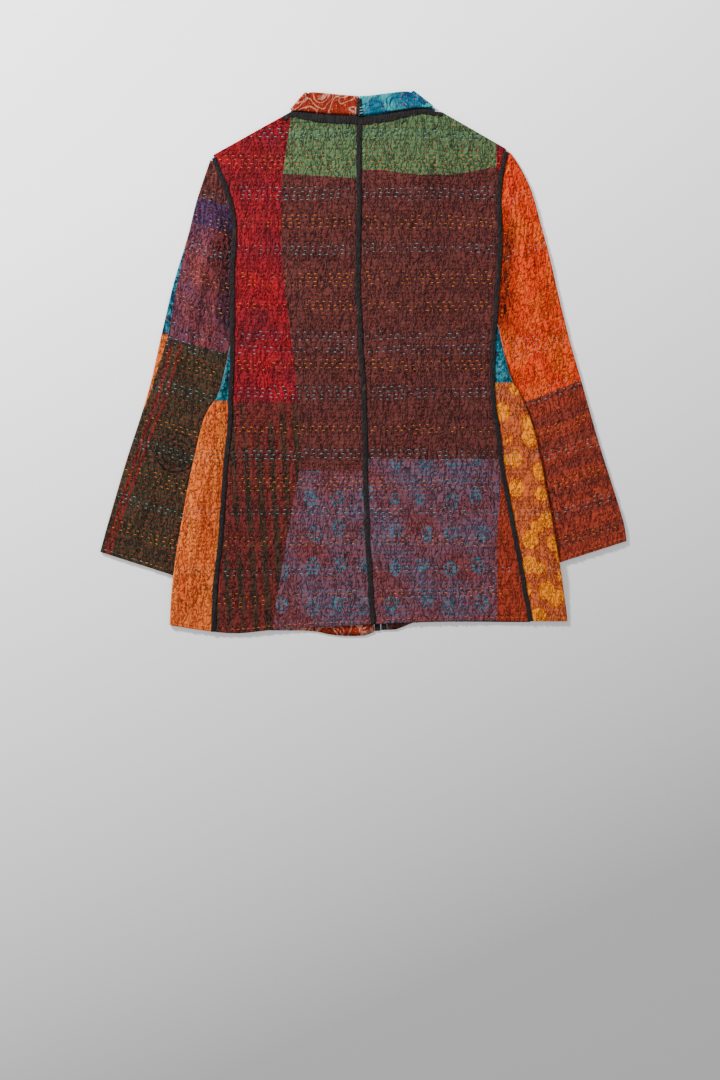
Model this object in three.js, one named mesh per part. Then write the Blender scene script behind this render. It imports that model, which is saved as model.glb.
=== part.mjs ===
// A quilted jacket laid flat on its front, seen from its back. Millimetres, +Z up, z = 0 the surface.
// X runs across the jacket and Y up its back. The wearer's left side is at negative X.
import * as THREE from 'three';

// Cloth, seams and quilting
const WALL = 1.6;
const SEAM_GAP = 0.3;
const LAYER_GAP = 0.4;
const RIDGE = 0.5;
const ROW_STEP = 7.2;
const FOLD_HALF = WALL + LAYER_GAP / 2;
const LAYER_STEP = WALL + LAYER_GAP;

// Bias strips over the seams
const BINDING_WIDTH = 9;
const BINDING_WALL = 0.8;
const NECK_BINDING_WIDTH = 8;

// Body
const HEM_Y = -373;
const HEM_WAVE_REACH = 120;
const PLAIN_STEP = 22;
const NECK_LIFT = WALL + SEAM_GAP;
const NECK_OVAL = { x: -1, y: 345, halfWidth: 130, halfHeight: 90, spread: 0.5 };
// The extra clearance where back and fronts slope, over shares of the oval
const SLOPE_GAP = 0.9;
const SLOPE_BAND = { start: 0.8, full: 1, fade: 1.4, end: 1.7 };
// Heights that rows of the fronts need where they slope round the neck
const FRONT_SLOPE_ROWS = [225, 240, 256, 270];
const FRONT_EDGE_GAP = 2;
const FRONT_EDGE = { topX: 2, topY: 281, hemX: 25, hemY: -380 };

// Sleeves, whose rows and cuffs lie tilted
const CUFF_TILT = THREE.MathUtils.degToRad(17.8);
const SLEEVE_SEAM_GAP = 0.6;
const TUCK_GAP = 0.6;
const MIN_WIDTH = 6;
const INNER_EDGE_END = -340;
const INNER_EDGE_STEP = 7;
// Distances over which a sleeve's soft folds fade in from its seam and from its outer fold
const SEAM_FADE = { start: 5, end: 16 };
const FOLD_FADE = { start: 2, end: 16 };

// Side panels climb between their seam and the tucked sleeve, within shares of their width
const CLIMB_START_SHARE = 0.6;
const CLIMB_END_SHARE = 0.8;
const CLIMB_CLEARANCE = 3;

// Strips: the spacing of their points, and where the short ones begin and end
const STRIP_STEP = 14;
const STRIP_TIP_GAP = 4;
const CENTRE_STRIP_TOP = 341.5;
const NECK_STRIP_RISE = 2;
const COLLAR_STRIP = { x: -6.4, bottom: 356, top: 379 };
const FRONT_STRIP_PARTS = 40;

// The seams of the back at heights up the body. The fronts have the same ones.
const SEAMS = [
  { y: -382, left: -214.4, centre: 14.5, right: 240.2 },
  { y: -332, left: -213.4, centre: 11.1, right: 231.8 },
  { y: -243, left: -203.9, centre: 5.4, right: 216.1 },
  { y: -166, left: -198.8, centre: 2.9, right: 201.3 },
  { y: -93, left: -192.0, centre: 1.9, right: 191.6 },
  { y: -36, left: -189.5, centre: -0.1, right: 184.8 },
  { y: 27, left: -187.5, centre: -3.9, right: 185.9 },
  { y: 114, left: -187.3, centre: -8.0, right: 192.0 },
  { y: 162, left: -185.8, centre: -7.6, right: 194.8 },
  { y: 199, left: -184.8, centre: -6.6, right: 195.2 },
  { y: 235, left: -190.9, centre: -6.4, right: 193.8 },
  { y: 266, left: -202.9, centre: -6.4, right: 196.0 },
  { y: 304, left: -216.0, centre: -6.4, right: 204.0 },
  { y: 345, left: -216.0, centre: -6.4, right: 204.0 },
];

// Shoulder lines from the tip of each shoulder to the neck
const SHOULDERS = {
  left: { tipX: -214.4, tipY: 298.6, neckX: -110.8, neckY: 356.1 },
  right: { tipX: 203.4, tipY: 307.4, neckX: 109.4, neckY: 361.0 },
};

// The back's neck edge, from the centre seam out to each shoulder
const BACK_NECK = {
  left: [
    { y: 344.5, x: -6.7 },
    { y: 345.2, x: -30 },
    { y: 346.5, x: -50 },
    { y: 348.5, x: -68 },
    { y: 351.2, x: -82 },
    { y: 353.8, x: -92 },
    { y: 355.5, x: -99 },
  ],
  right: [
    { y: 344.5, x: -6.1 },
    { y: 345.4, x: 10 },
    { y: 348.0, x: 29 },
    { y: 351.6, x: 47 },
    { y: 355.2, x: 62 },
    { y: 358.4, x: 76 },
    { y: 360.0, x: 86 },
  ],
};

// The fronts' neck edge, from the front edge up to each shoulder
const FRONT_NECK = {
  left: [
    { y: 281.5, x: -16 },
    { y: 286, x: -38 },
    { y: 295, x: -57 },
    { y: 307, x: -72 },
    { y: 321, x: -84 },
    { y: 334, x: -92 },
    { y: 346, x: -97 },
    { y: 355.5, x: -99 },
  ],
  right: [
    { y: 281.5, x: 20 },
    { y: 286, x: 42 },
    { y: 295, x: 60 },
    { y: 307, x: 74 },
    { y: 321, x: 83 },
    { y: 334, x: 87 },
    { y: 346, x: 88 },
    { y: 360, x: 86 },
  ],
};

// How far the hem hangs below its straight line at places across it
const BACK_HEM = [
  { x: -280, drop: 0 },
  { x: -221, drop: 9 },
  { x: -181, drop: 12 },
  { x: -127, drop: 7 },
  { x: -39, drop: 2 },
  { x: 115, drop: -5 },
  { x: 292, drop: -5 },
];
const FRONT_HEM = [
  { x: -216, drop: 6 },
  { x: -130, drop: 8 },
  { x: -72, drop: 9 },
  { x: -40, drop: 15 },
  { x: 4, drop: 15 },
  { x: 22, drop: 8 },
  { x: 50, drop: 6 },
  { x: 70, drop: -3 },
  { x: 242, drop: -4 },
];

// Each side panel: its fold, how much sleeve is tucked under it, and how high that lifts it.
// A tuck below zero means that the sleeve still lies beside the fold.
const SIDES = {
  left: [
    { y: -382, fold: -277.5, tuck: 27, lift: 0 },
    { y: -350, fold: -276.0, tuck: 27, lift: 1.4 },
    { y: -314, fold: -273.2, tuck: 25, lift: 4.5 },
    { y: -265, fold: -266.7, tuck: 23, lift: 4.5 },
    { y: -217, fold: -258.3, tuck: 22, lift: 4.5 },
    { y: -165, fold: -248.8, tuck: 21, lift: 4.5 },
    { y: -123, fold: -239.2, tuck: 20, lift: 4.5 },
    { y: -84, fold: -229.8, tuck: 15, lift: 4.5 },
    { y: -63, fold: -220.4, tuck: 8, lift: 4.5 },
    { y: -47, fold: -209.0, tuck: -TUCK_GAP, lift: 4.5 },
    { y: -35, fold: -204.6, tuck: -TUCK_GAP, lift: 4.4 },
    { y: -23, fold: -201.3, tuck: -TUCK_GAP, lift: 3.0 },
    { y: 0, fold: -196.0, tuck: -TUCK_GAP, lift: 0 },
    { y: 22, fold: -191.4, tuck: -TUCK_GAP, lift: 0 },
    { y: 38, fold: -187.9, tuck: -TUCK_GAP, lift: 0 },
  ],
  right: [
    { y: -382, fold: 292.5, tuck: 36, lift: 0 },
    { y: -366, fold: 291.0, tuck: 36, lift: 0.4 },
    { y: -333, fold: 286.7, tuck: 36, lift: 2.2 },
    { y: -300, fold: 282.5, tuck: 34, lift: 4.5 },
    { y: -240, fold: 272.4, tuck: 29.4, lift: 4.5 },
    { y: -200, fold: 265.3, tuck: 27.3, lift: 4.5 },
    { y: -162, fold: 258.1, tuck: 25, lift: 4.5 },
    { y: -127, fold: 251.0, tuck: 23, lift: 4.5 },
    { y: -100, fold: 245.2, tuck: 20.5, lift: 4.5 },
    { y: -74, fold: 236.7, tuck: 16, lift: 4.5 },
    { y: -52, fold: 228.1, tuck: 11, lift: 4.5 },
    { y: -37, fold: 220.9, tuck: 5, lift: 4.5 },
    { y: -27, fold: 213.4, tuck: -TUCK_GAP, lift: 4.5 },
    { y: -16, fold: 209.0, tuck: -TUCK_GAP, lift: 4.4 },
    { y: 14, fold: 200.9, tuck: -TUCK_GAP, lift: 2.2 },
    { y: 47, fold: 193.8, tuck: -TUCK_GAP, lift: 0 },
    { y: 64, fold: 189.2, tuck: -TUCK_GAP, lift: 0 },
  ],
};
const SIDE_TOP = { left: 21, right: 54 };
const UNDERARM = { left: 38, right: 64 };

// Each sleeve's outer fold from the shoulder to the cuff
const SLEEVE_FOLD = {
  left: [
    { x: -216.9, y: 298.0 },
    { x: -238.1, y: 234.5 },
    { x: -251.0, y: 183.0 },
    { x: -271.6, y: 114.4 },
    { x: -288.7, y: 42.2 },
    { x: -308.2, y: -41.5 },
    { x: -339.6, y: -140.1 },
    { x: -365.4, y: -228.1 },
    { x: -376.5, y: -268.6 },
  ],
  right: [
    { x: 206.2, y: 307.4 },
    { x: 225.2, y: 278.8 },
    { x: 241.0, y: 244.5 },
    { x: 253.8, y: 198.8 },
    { x: 265.3, y: 156.6 },
    { x: 279.6, y: 94.4 },
    { x: 295.3, y: 31.5 },
    { x: 311.0, y: -22.9 },
    { x: 336.8, y: -113.7 },
    { x: 371.5, y: -225.0 },
    { x: 376.2, y: -253.1 },
  ],
};

// Soft folds of the sleeves' upper layer: the crest's middle, its lean from straight up, and its size.
// The trough beside each armhole is what the first crest leaves.
const SLEEVE_CRESTS = {
  left: [
    { x: -231, y: 130, lean: 12, reach: 95, width: 15, height: 2.3 },
    { x: -262, y: 20, lean: 16, reach: 90, width: 20, height: 1.6 },
    { x: -300, y: -150, lean: 20, reach: 110, width: 30, height: 1.4 },
  ],
  right: [
    { x: 232, y: 150, lean: -12, reach: 100, width: 15, height: 2.3 },
    { x: 262, y: 30, lean: -15, reach: 90, width: 20, height: 1.6 },
    { x: 305, y: -130, lean: -19, reach: 110, width: 30, height: 1.4 },
  ],
};

// Collar stations from the centre back seam round the neck to the front edge: the seam, the top fold,
// the share of the stand that the fall covers, and the turn from the back (0) to the front (180).
const COLLAR = {
  left: [
    { x: -6.7, y: 344.8, topX: -6.7, topY: 382.5, fall: 0.71, turn: 0 },
    { x: -30, y: 345.5, topX: -24, topY: 383.5, fall: 0.71, turn: 0 },
    { x: -50, y: 346.8, topX: -40, topY: 385, fall: 0.72, turn: 0 },
    { x: -68, y: 348.8, topX: -54, topY: 386.5, fall: 0.73, turn: 0 },
    { x: -82, y: 351.6, topX: -65, topY: 387.5, fall: 0.76, turn: 0 },
    { x: -92, y: 354.2, topX: -72.5, topY: 388, fall: 0.8, turn: 0 },
    { x: -99, y: 355.9, topX: -77, topY: 387.5, fall: 0.82, turn: 0 },
    { x: -105, y: 356.9, topX: -79.5, topY: 386, fall: 0.85, turn: 0 },
    { x: -105, y: 356.9, topX: -79.5, topY: 386, fall: 0.85, turn: 45 },
    { x: -105, y: 356.9, topX: -79.5, topY: 386, fall: 0.85, turn: 90 },
    { x: -105, y: 356.9, topX: -79.5, topY: 386, fall: 0.86, turn: 135 },
    { x: -105, y: 356.9, topX: -79.5, topY: 386, fall: 0.88, turn: 180 },
    { x: -98.3, y: 356.2, topX: -72, topY: 375, fall: 1.0, turn: 180 },
    { x: -96.5, y: 346, topX: -66, topY: 362, fall: 1.2, turn: 180 },
    { x: -91.5, y: 334, topX: -60, topY: 349, fall: 1.4, turn: 180 },
    { x: -83.5, y: 321.4, topX: -54, topY: 338, fall: 1.5, turn: 180 },
    { x: -71.6, y: 307.5, topX: -46, topY: 328, fall: 1.5, turn: 180 },
    { x: -56.7, y: 295.5, topX: -36, topY: 320, fall: 1.5, turn: 180 },
    { x: -37.8, y: 286.5, topX: -22, topY: 315, fall: 1.5, turn: 180 },
    { x: -15.8, y: 282, topX: -7, topY: 312, fall: 1.5, turn: 180 },
  ],
  right: [
    { x: -6.1, y: 344.8, topX: -6.1, topY: 382.5, fall: 0.71, turn: 0 },
    { x: 10, y: 345.7, topX: 8, topY: 383, fall: 0.71, turn: 0 },
    { x: 29, y: 348.3, topX: 23, topY: 385, fall: 0.72, turn: 0 },
    { x: 47, y: 351.9, topX: 38, topY: 387, fall: 0.73, turn: 0 },
    { x: 62, y: 355.5, topX: 49, topY: 388.5, fall: 0.76, turn: 0 },
    { x: 76, y: 358.7, topX: 58, topY: 389, fall: 0.78, turn: 0 },
    { x: 86, y: 360.3, topX: 63, topY: 389, fall: 0.8, turn: 0 },
    { x: 102, y: 361.6, topX: 68, topY: 387.5, fall: 0.83, turn: 0 },
    { x: 102, y: 361.6, topX: 68, topY: 387.5, fall: 0.83, turn: 45 },
    { x: 102, y: 361.6, topX: 68, topY: 387.5, fall: 0.84, turn: 90 },
    { x: 102, y: 361.6, topX: 68, topY: 387.5, fall: 0.85, turn: 135 },
    { x: 102, y: 361.6, topX: 68, topY: 387.5, fall: 0.88, turn: 180 },
    { x: 85.4, y: 360.6, topX: 62, topY: 376, fall: 1.0, turn: 180 },
    { x: 87.4, y: 346, topX: 60, topY: 362, fall: 1.2, turn: 180 },
    { x: 86.4, y: 334, topX: 57, topY: 349, fall: 1.4, turn: 180 },
    { x: 82.4, y: 321.4, topX: 54, topY: 338, fall: 1.5, turn: 180 },
    { x: 73.6, y: 307.5, topX: 48, topY: 328, fall: 1.5, turn: 180 },
    { x: 59.6, y: 295.5, topX: 38, topY: 320, fall: 1.5, turn: 180 },
    { x: 41.8, y: 286.5, topX: 25, topY: 315, fall: 1.5, turn: 180 },
    { x: 19.8, y: 282, topX: 11, topY: 312, fall: 1.5, turn: 180 },
  ],
};
// Distances of the stand's and the fall's two faces from the middle height of the turn
const COLLAR_MIDDLE = 3.7;
const STAND = { near: 0.2, far: 0.2 + WALL };
const FALL_ON_BACK = { near: 3.7, far: 3.7 + WALL };
const FALL_ON_FRONT = { near: 2.1, far: 2.1 + WALL };

// Where the columns of points lie across a panel, as shares of its width
const BACK_COLUMNS = [0, 0.33, 0.67, 1];
const FRONT_COLUMNS = [0, 0.25, 0.5, 0.75, 1];
const SLEEVE_COLUMNS = [0, 0.14, 0.34, 0.56, 0.78, 1];
const FOLD_ANGLES = [50, 0, -50];

// A smooth value from a table, between the rows on either side
function look(table, key, column, at) {
  const last = table.length - 1;
  let i = 0;
  while (i < last - 1 && at > table[i + 1][key]) {
    i += 1;
  }
  const slope = (k) => {
    const before = table[Math.max(k - 1, 0)];
    const after = table[Math.min(k + 1, last)];
    return (after[column] - before[column]) / (after[key] - before[key]);
  };
  const span = table[i + 1][key] - table[i][key];
  const t = THREE.MathUtils.clamp((at - table[i][key]) / span, 0, 1);
  const rise = t * t * (3 - 2 * t);
  const bend = t * (1 - t) * span;
  return THREE.MathUtils.lerp(table[i][column], table[i + 1][column], rise)
    + bend * ((1 - t) * slope(i) - t * slope(i + 1));
}

const smooth = (value, low, high) => THREE.MathUtils.smoothstep(value, low, high);

// Raised quilting: crests and valleys take turns from one row of points to the next.
function quilting(distance) {
  return RIDGE * (0.5 - 0.5 * Math.cos(Math.PI * distance / ROW_STEP));
}

// How far out of the neck's oval a point is: 1 on the oval
function ovalShare(x, y) {
  const across = (x - NECK_OVAL.x) / NECK_OVAL.halfWidth;
  const up = (y - NECK_OVAL.y) / NECK_OVAL.halfHeight;
  return Math.hypot(across, up);
}

// The lift round the neck, where the collar's fall lies under the fronts
function neckLift(x, y) {
  return NECK_LIFT * (1 - smooth(ovalShare(x, y), 1, 1 + NECK_OVAL.spread));
}

// The back clears the fronts by a little more where both slope down from the neck.
function backUnderside(x, y) {
  const out = ovalShare(x, y);
  const { start, full, fade, end } = SLOPE_BAND;
  const clearance = SLOPE_GAP * smooth(out, start, full) * (1 - smooth(out, fade, end));
  return neckLift(x, y) + LAYER_STEP + clearance;
}

function hemShift(table, x, y) {
  const near = 1 - smooth(y - HEM_Y, 0, HEM_WAVE_REACH);
  return -look(table, 'x', 'drop', x) * near;
}

// Evenly spaced heights from the hem up to a top, with some exact ones added
function heights(top, step, extra) {
  const list = [...extra];
  for (let y = HEM_Y; y < top; y += step) {
    if (extra.every((other) => Math.abs(other - y) > step / 4)) {
      list.push(y);
    }
  }
  return list.sort((a, b) => a - b);
}

// A closed wall between two grids of points. The inner grid keeps only some of the rows.
function wall(name, colour, rows, innerEvery = 1) {
  const kept = rows.map((row, i) => i).filter((i) => (
    i % innerEvery === 0 || i === rows.length - 1 || rows[i].close
  ));
  const columns = rows[0].outer.length;
  const positions = [];
  rows.forEach((row) => row.outer.forEach((p) => positions.push(p.x, p.y, p.z)));
  kept.forEach((i) => rows[i].inner.forEach((p) => positions.push(p.x, p.y, p.z)));
  const outer = (i, j) => i * columns + j;
  const inner = (k, j) => (rows.length + k) * columns + j;
  const faces = [];
  const quad = (a, b, c, d) => faces.push(a, b, c, a, c, d);
  for (let i = 0; i < rows.length - 1; i += 1) {
    for (let j = 0; j < columns - 1; j += 1) {
      quad(outer(i, j), outer(i, j + 1), outer(i + 1, j + 1), outer(i + 1, j));
    }
  }
  for (let k = 0; k < kept.length - 1; k += 1) {
    for (let j = 0; j < columns - 1; j += 1) {
      quad(inner(k, j), inner(k + 1, j), inner(k + 1, j + 1), inner(k, j + 1));
    }
    const middle = Math.floor((kept[k] + kept[k + 1]) / 2);
    [[0, false], [columns - 1, true]].forEach(([j, turned]) => {
      const rim = (a, b, c) => (turned ? faces.push(a, c, b) : faces.push(a, b, c));
      for (let i = kept[k]; i < kept[k + 1]; i += 1) {
        rim(outer(i, j), outer(i + 1, j), inner(i < middle ? k : k + 1, j));
      }
      rim(outer(middle, j), inner(k + 1, j), inner(k, j));
    });
  }
  const end = kept.length - 1;
  for (let j = 0; j < columns - 1; j += 1) {
    quad(outer(0, j), inner(0, j), inner(0, j + 1), outer(0, j + 1));
    quad(outer(rows.length - 1, j), outer(rows.length - 1, j + 1), inner(end, j + 1), inner(end, j));
  }
  return closedMesh(name, colour, positions, faces);
}

// A mesh whose faces point out, whichever way round its rows ran
function closedMesh(name, colour, positions, faces) {
  const point = (i) => new THREE.Vector3().fromArray(positions, 3 * i);
  let volume = 0;
  for (let f = 0; f < faces.length; f += 3) {
    volume += point(faces[f]).dot(point(faces[f + 1]).cross(point(faces[f + 2])));
  }
  if (volume < 0) {
    faces.reverse();
  }
  const geometry = new THREE.BufferGeometry();
  geometry.setAttribute('position', new THREE.Float32BufferAttribute(positions, 3));
  geometry.setIndex(faces);
  geometry.computeVertexNormals();
  const material = new THREE.MeshStandardMaterial({ color: colour, roughness: 0.9, metalness: 0 });
  const mesh = new THREE.Mesh(geometry, material);
  mesh.name = name;
  return mesh;
}

// One row of a single layer: its outer points lie a wall, and the quilting, above its inner ones.
function layerRow(left, right, y, columns, underside, hem, ridge) {
  const places = columns.map((share) => THREE.MathUtils.lerp(left, right, share));
  const row = (extra) => places.map((x) => (
    new THREE.Vector3(x, y + hemShift(hem, x, y), underside(x, y) + extra)
  ));
  return { outer: row(WALL + ridge), inner: row(0) };
}

// One row of a sheet folded in two: over its upper layer, round the fold and back underneath.
function foldedRow({ place, reach, columns, under, lift, loft, ridge }) {
  const folded = (upper, lower, radius, extra) => {
    const points = columns.map((w) => place(w, lift(w) + upper + loft(w) + extra));
    const middle = lift(reach) + FOLD_HALF;
    FOLD_ANGLES.forEach((degrees) => {
      const angle = THREE.MathUtils.degToRad(degrees);
      const crest = extra * Math.max(Math.sin(angle), 0);
      points.push(place(reach + radius * Math.cos(angle), middle + radius * Math.sin(angle) + crest));
    });
    [...under].reverse().forEach((w) => points.push(place(w, lift(w) + lower)));
    return points;
  };
  return {
    outer: folded(LAYER_STEP + WALL, 0, FOLD_HALF, ridge),
    inner: folded(LAYER_STEP, WALL, LAYER_GAP / 2, 0),
  };
}

function shoulderX(side, y) {
  const { tipX, tipY, neckX, neckY } = SHOULDERS[side];
  return tipX + (y - tipY) * (neckX - tipX) / (neckY - tipY);
}

// The outer end of a body row: on the side seam, or on the shoulder line above its tip
function outerEnd(side, y) {
  const gap = side === 'left' ? SEAM_GAP / 2 : -SEAM_GAP / 2;
  return y > SHOULDERS[side].tipY ? shoulderX(side, y) : look(SEAMS, 'y', side, y) + gap;
}

function backPanel(side, colour) {
  const neck = BACK_NECK[side];
  const gap = side === 'left' ? -SEAM_GAP / 2 : SEAM_GAP / 2;
  const corners = [SHOULDERS[side].tipY, ...neck.map((row) => row.y)];
  const rows = heights(neck[0].y, ROW_STEP, corners).map((y) => {
    const centre = y < neck[0].y ? look(SEAMS, 'y', 'centre', y) + gap : look(neck, 'y', 'x', y);
    const ridge = y < neck[0].y ? quilting(y - HEM_Y) : 0;
    const row = layerRow(outerEnd(side, y), centre, y, BACK_COLUMNS, backUnderside, BACK_HEM, ridge);
    return { ...row, close: y > neck[0].y - ROW_STEP };
  });
  return wall(`back_${side}`, colour, rows, 4);
}

const frontEdgeX = (y) => THREE.MathUtils.mapLinear(
  y, FRONT_EDGE.topY, FRONT_EDGE.hemY, FRONT_EDGE.topX, FRONT_EDGE.hemX,
);

// The fronts lie face down, so their outer points are plain.
function frontPanel(side, colour) {
  const neck = FRONT_NECK[side];
  const inward = side === 'left' ? -1 : 1;
  const edgeTop = neck[0].y - FRONT_EDGE_GAP;
  const corners = [edgeTop, SHOULDERS[side].tipY, ...neck.map((row) => row.y), ...FRONT_SLOPE_ROWS];
  const rows = heights(edgeTop, PLAIN_STEP, corners).map((y) => {
    const edge = frontEdgeX(y) + inward * (BINDING_WIDTH + SEAM_GAP);
    const centre = y < neck[0].y ? edge : look(neck, 'y', 'x', y);
    return layerRow(outerEnd(side, y), centre, y, FRONT_COLUMNS, neckLift, FRONT_HEM, 0);
  });
  return wall(`front_${side}`, colour, rows);
}

// A side panel wraps from the back's seam to the front's. It climbs over the sleeve tucked under it.
function sidePanel(side, colour) {
  const out = side === 'left' ? -1 : 1;
  const rows = heights(SIDE_TOP[side], ROW_STEP, [SIDE_TOP[side]]).map((y) => {
    const seam = look(SEAMS, 'y', side, y) + out * SEAM_GAP;
    const width = out * (look(SIDES[side], 'y', 'fold', y) - seam);
    const lift = Math.max(look(SIDES[side], 'y', 'lift', y), 0);
    const reach = width - FOLD_HALF;
    const tuck = look(SIDES[side], 'y', 'tuck', y);
    const rampStart = Math.min(BINDING_WIDTH / 2 + 1, reach * CLIMB_START_SHARE);
    const rampEnd = Math.min(width - tuck - CLIMB_CLEARANCE, reach * CLIMB_END_SHARE);
    const place = (w, z) => {
      const x = seam + out * w;
      return new THREE.Vector3(x, y + hemShift(BACK_HEM, x, y), z);
    };
    const climb = (w) => lift * THREE.MathUtils.clamp((w - rampStart) / (rampEnd - rampStart), 0, 1);
    const columns = [0, rampStart, rampEnd, reach];
    const ridge = quilting(y - HEM_Y);
    return foldedRow({ place, reach, columns, under: columns, lift: climb, loft: () => 0, ridge });
  });
  return wall(`side_${side}`, colour, rows, 3);
}

// The sleeve's inner edge: down the armhole, beside the side panel's fold, then tucked under it
function sleeveInnerEdge(side) {
  const out = side === 'left' ? -1 : 1;
  const points = [];
  for (let y = SHOULDERS[side].tipY; y > INNER_EDGE_END; y -= INNER_EDGE_STEP) {
    const besideSeam = look(SEAMS, 'y', side, y) + out * SLEEVE_SEAM_GAP;
    const besideFold = look(SIDES[side], 'y', 'fold', y) - out * look(SIDES[side], 'y', 'tuck', y);
    points.push({ x: y > UNDERARM[side] ? besideSeam : besideFold, y });
  }
  return points;
}

// A sleeve is one sheet folded along its outer edge, whose two long edges meet under the arm.
function sleeve(side, colour) {
  const out = side === 'left' ? -1 : 1;
  const down = new THREE.Vector2(out * Math.sin(CUFF_TILT), -Math.cos(CUFF_TILT));
  const across = new THREE.Vector2(out * Math.cos(CUFF_TILT), Math.sin(CUFF_TILT));
  const turned = (points) => points.map(({ x, y }) => ({
    along: down.x * x + down.y * y,
    across: across.x * x + across.y * y,
  }));
  const innerEdge = turned(sleeveInnerEdge(side));
  const outerEdge = turned(SLEEVE_FOLD[side]);
  const cuff = outerEdge[outerEdge.length - 1].along;
  const rows = [];
  for (let along = cuff; along > innerEdge[0].along; along -= ROW_STEP) {
    const start = look(innerEdge, 'along', 'across', along);
    const width = look(outerEdge, 'along', 'across', along) - start;
    if (width < MIN_WIDTH) {
      break;
    }
    const place = (w, z) => new THREE.Vector3(
      down.x * along + across.x * (start + w),
      down.y * along + across.y * (start + w),
      z,
    );
    const loft = (w) => {
      const point = place(w, 0);
      const fromSeam = smooth(w, SEAM_FADE.start, SEAM_FADE.end);
      const fromFold = smooth(width - w, FOLD_FADE.start, FOLD_FADE.end);
      return fromSeam * fromFold * crests(side, point.x, point.y);
    };
    const reach = width - FOLD_HALF;
    const columns = SLEEVE_COLUMNS.map((share) => share * reach);
    const ridge = quilting(cuff - along);
    rows.push(foldedRow({ place, reach, columns, under: [0, reach], lift: () => 0, loft, ridge }));
  }
  return wall(`sleeve_${side}`, colour, rows, 3);
}

// The height of the sleeve's soft folds over a point
function crests(side, x, y) {
  return SLEEVE_CRESTS[side].reduce((sum, crest) => {
    const lean = THREE.MathUtils.degToRad(crest.lean);
    const offX = x - crest.x;
    const offY = y - crest.y;
    const along = (offY * Math.cos(lean) + offX * Math.sin(lean)) / crest.reach;
    const aside = (offX * Math.cos(lean) - offY * Math.sin(lean)) / crest.width;
    return sum + crest.height * Math.exp(-along * along - aside * aside);
  }, 0);
}

// The collar stands up from the neck seam, folds over at its top and falls outwards.
function collar(side, colour) {
  const out = side === 'left' ? -1 : 1;
  const rows = COLLAR[side].map((row) => {
    const up = new THREE.Vector2(row.topX - row.x, row.topY - row.y);
    const height = up.length();
    up.normalize();
    const turn = THREE.MathUtils.degToRad(row.turn);
    const onFront = row.turn / 180;
    const nearFall = THREE.MathUtils.lerp(FALL_ON_BACK.near, FALL_ON_FRONT.near, onFront);
    const farFall = THREE.MathUtils.lerp(FALL_ON_BACK.far, FALL_ON_FRONT.far, onFront);
    const place = (d, off) => new THREE.Vector3(
      row.x + up.x * d + off * Math.sin(turn) * up.y * out,
      row.y + up.y * d - off * Math.sin(turn) * up.x * out,
      COLLAR_MIDDLE + off * Math.cos(turn),
    );
    const rollTop = height - (farFall - STAND.near) / 2;
    const face = (stand, fall) => {
      const radius = (fall - stand) / 2;
      const points = [place(0, stand), place(rollTop / 2, stand), place(rollTop, stand)];
      [-45, 0, 45].forEach((degrees) => {
        const angle = THREE.MathUtils.degToRad(degrees);
        const middle = (fall + stand) / 2;
        points.push(place(rollTop + radius * Math.cos(angle), middle + radius * Math.sin(angle)));
      });
      const drop = height * row.fall;
      points.push(place(rollTop, fall), place(height - drop / 2, fall), place(height - drop, fall));
      return points;
    };
    return { outer: face(STAND.near, farFall), inner: face(STAND.far, nearFall) };
  });
  return wall(`collar_${side}`, colour, rows);
}

// A bias strip: a thin flat wall along a line of middle points, each with its underside's height
function strip(name, middles, width, thickness) {
  const rows = middles.map((point, i) => {
    const before = middles[Math.max(i - 1, 0)];
    const after = middles[Math.min(i + 1, middles.length - 1)];
    const aside = new THREE.Vector2(after.y - before.y, before.x - after.x).setLength(width / 2);
    const layer = (z) => [-1, 1].map((s) => (
      new THREE.Vector3(point.x + s * aside.x, point.y + s * aside.y, z)
    ));
    return { outer: layer(point.z + thickness), inner: layer(point.z) };
  });
  return wall(name, '#26252a', rows);
}

const overBack = (x, y) => backUnderside(x, y) + WALL + RIDGE + SEAM_GAP;

function seamStrip(name, column, top) {
  const middles = [];
  const count = Math.round((top - HEM_Y) / STRIP_STEP);
  for (let i = 0; i <= count; i += 1) {
    const y = THREE.MathUtils.lerp(HEM_Y, top, i / count);
    const x = look(SEAMS, 'y', column, y);
    middles.push({ x, y: y + hemShift(BACK_HEM, x, y), z: overBack(x, y) });
  }
  return strip(name, middles, BINDING_WIDTH, BINDING_WALL);
}

function neckStrip() {
  const left = [...BACK_NECK.left].reverse().slice(0, -1);
  const middles = [...left, ...BACK_NECK.right.slice(1)].map(({ x, y }) => (
    { x, y: y + NECK_STRIP_RISE, z: overBack(x, y) }
  ));
  return strip('binding_neck', middles, NECK_BINDING_WIDTH, BINDING_WALL);
}

// The strip over the collar's centre seam lies on its fall.
function collarStrip() {
  const z = COLLAR_MIDDLE + FALL_ON_BACK.far + SEAM_GAP;
  const { x, bottom, top } = COLLAR_STRIP;
  const middles = [{ x, y: bottom, z }, { x, y: top, z }];
  return strip('binding_collar', middles, BINDING_WIDTH, BINDING_WALL);
}

// The strip round a front edge stands for the wrapped edge, so it rests on the surface.
function frontStrip(side) {
  const inward = side === 'left' ? -1 : 1;
  const middles = [];
  for (let i = 0; i <= FRONT_STRIP_PARTS; i += 1) {
    const y = THREE.MathUtils.lerp(HEM_Y, FRONT_EDGE.topY - FRONT_EDGE_GAP, i / FRONT_STRIP_PARTS);
    const x = frontEdgeX(y) + inward * (BINDING_WIDTH + SEAM_GAP) / 2;
    middles.push({ x, y: y + hemShift(FRONT_HEM, x, y), z: neckLift(x, y) });
  }
  return strip(`binding_front_${side}`, middles, BINDING_WIDTH - SEAM_GAP, WALL);
}

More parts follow.
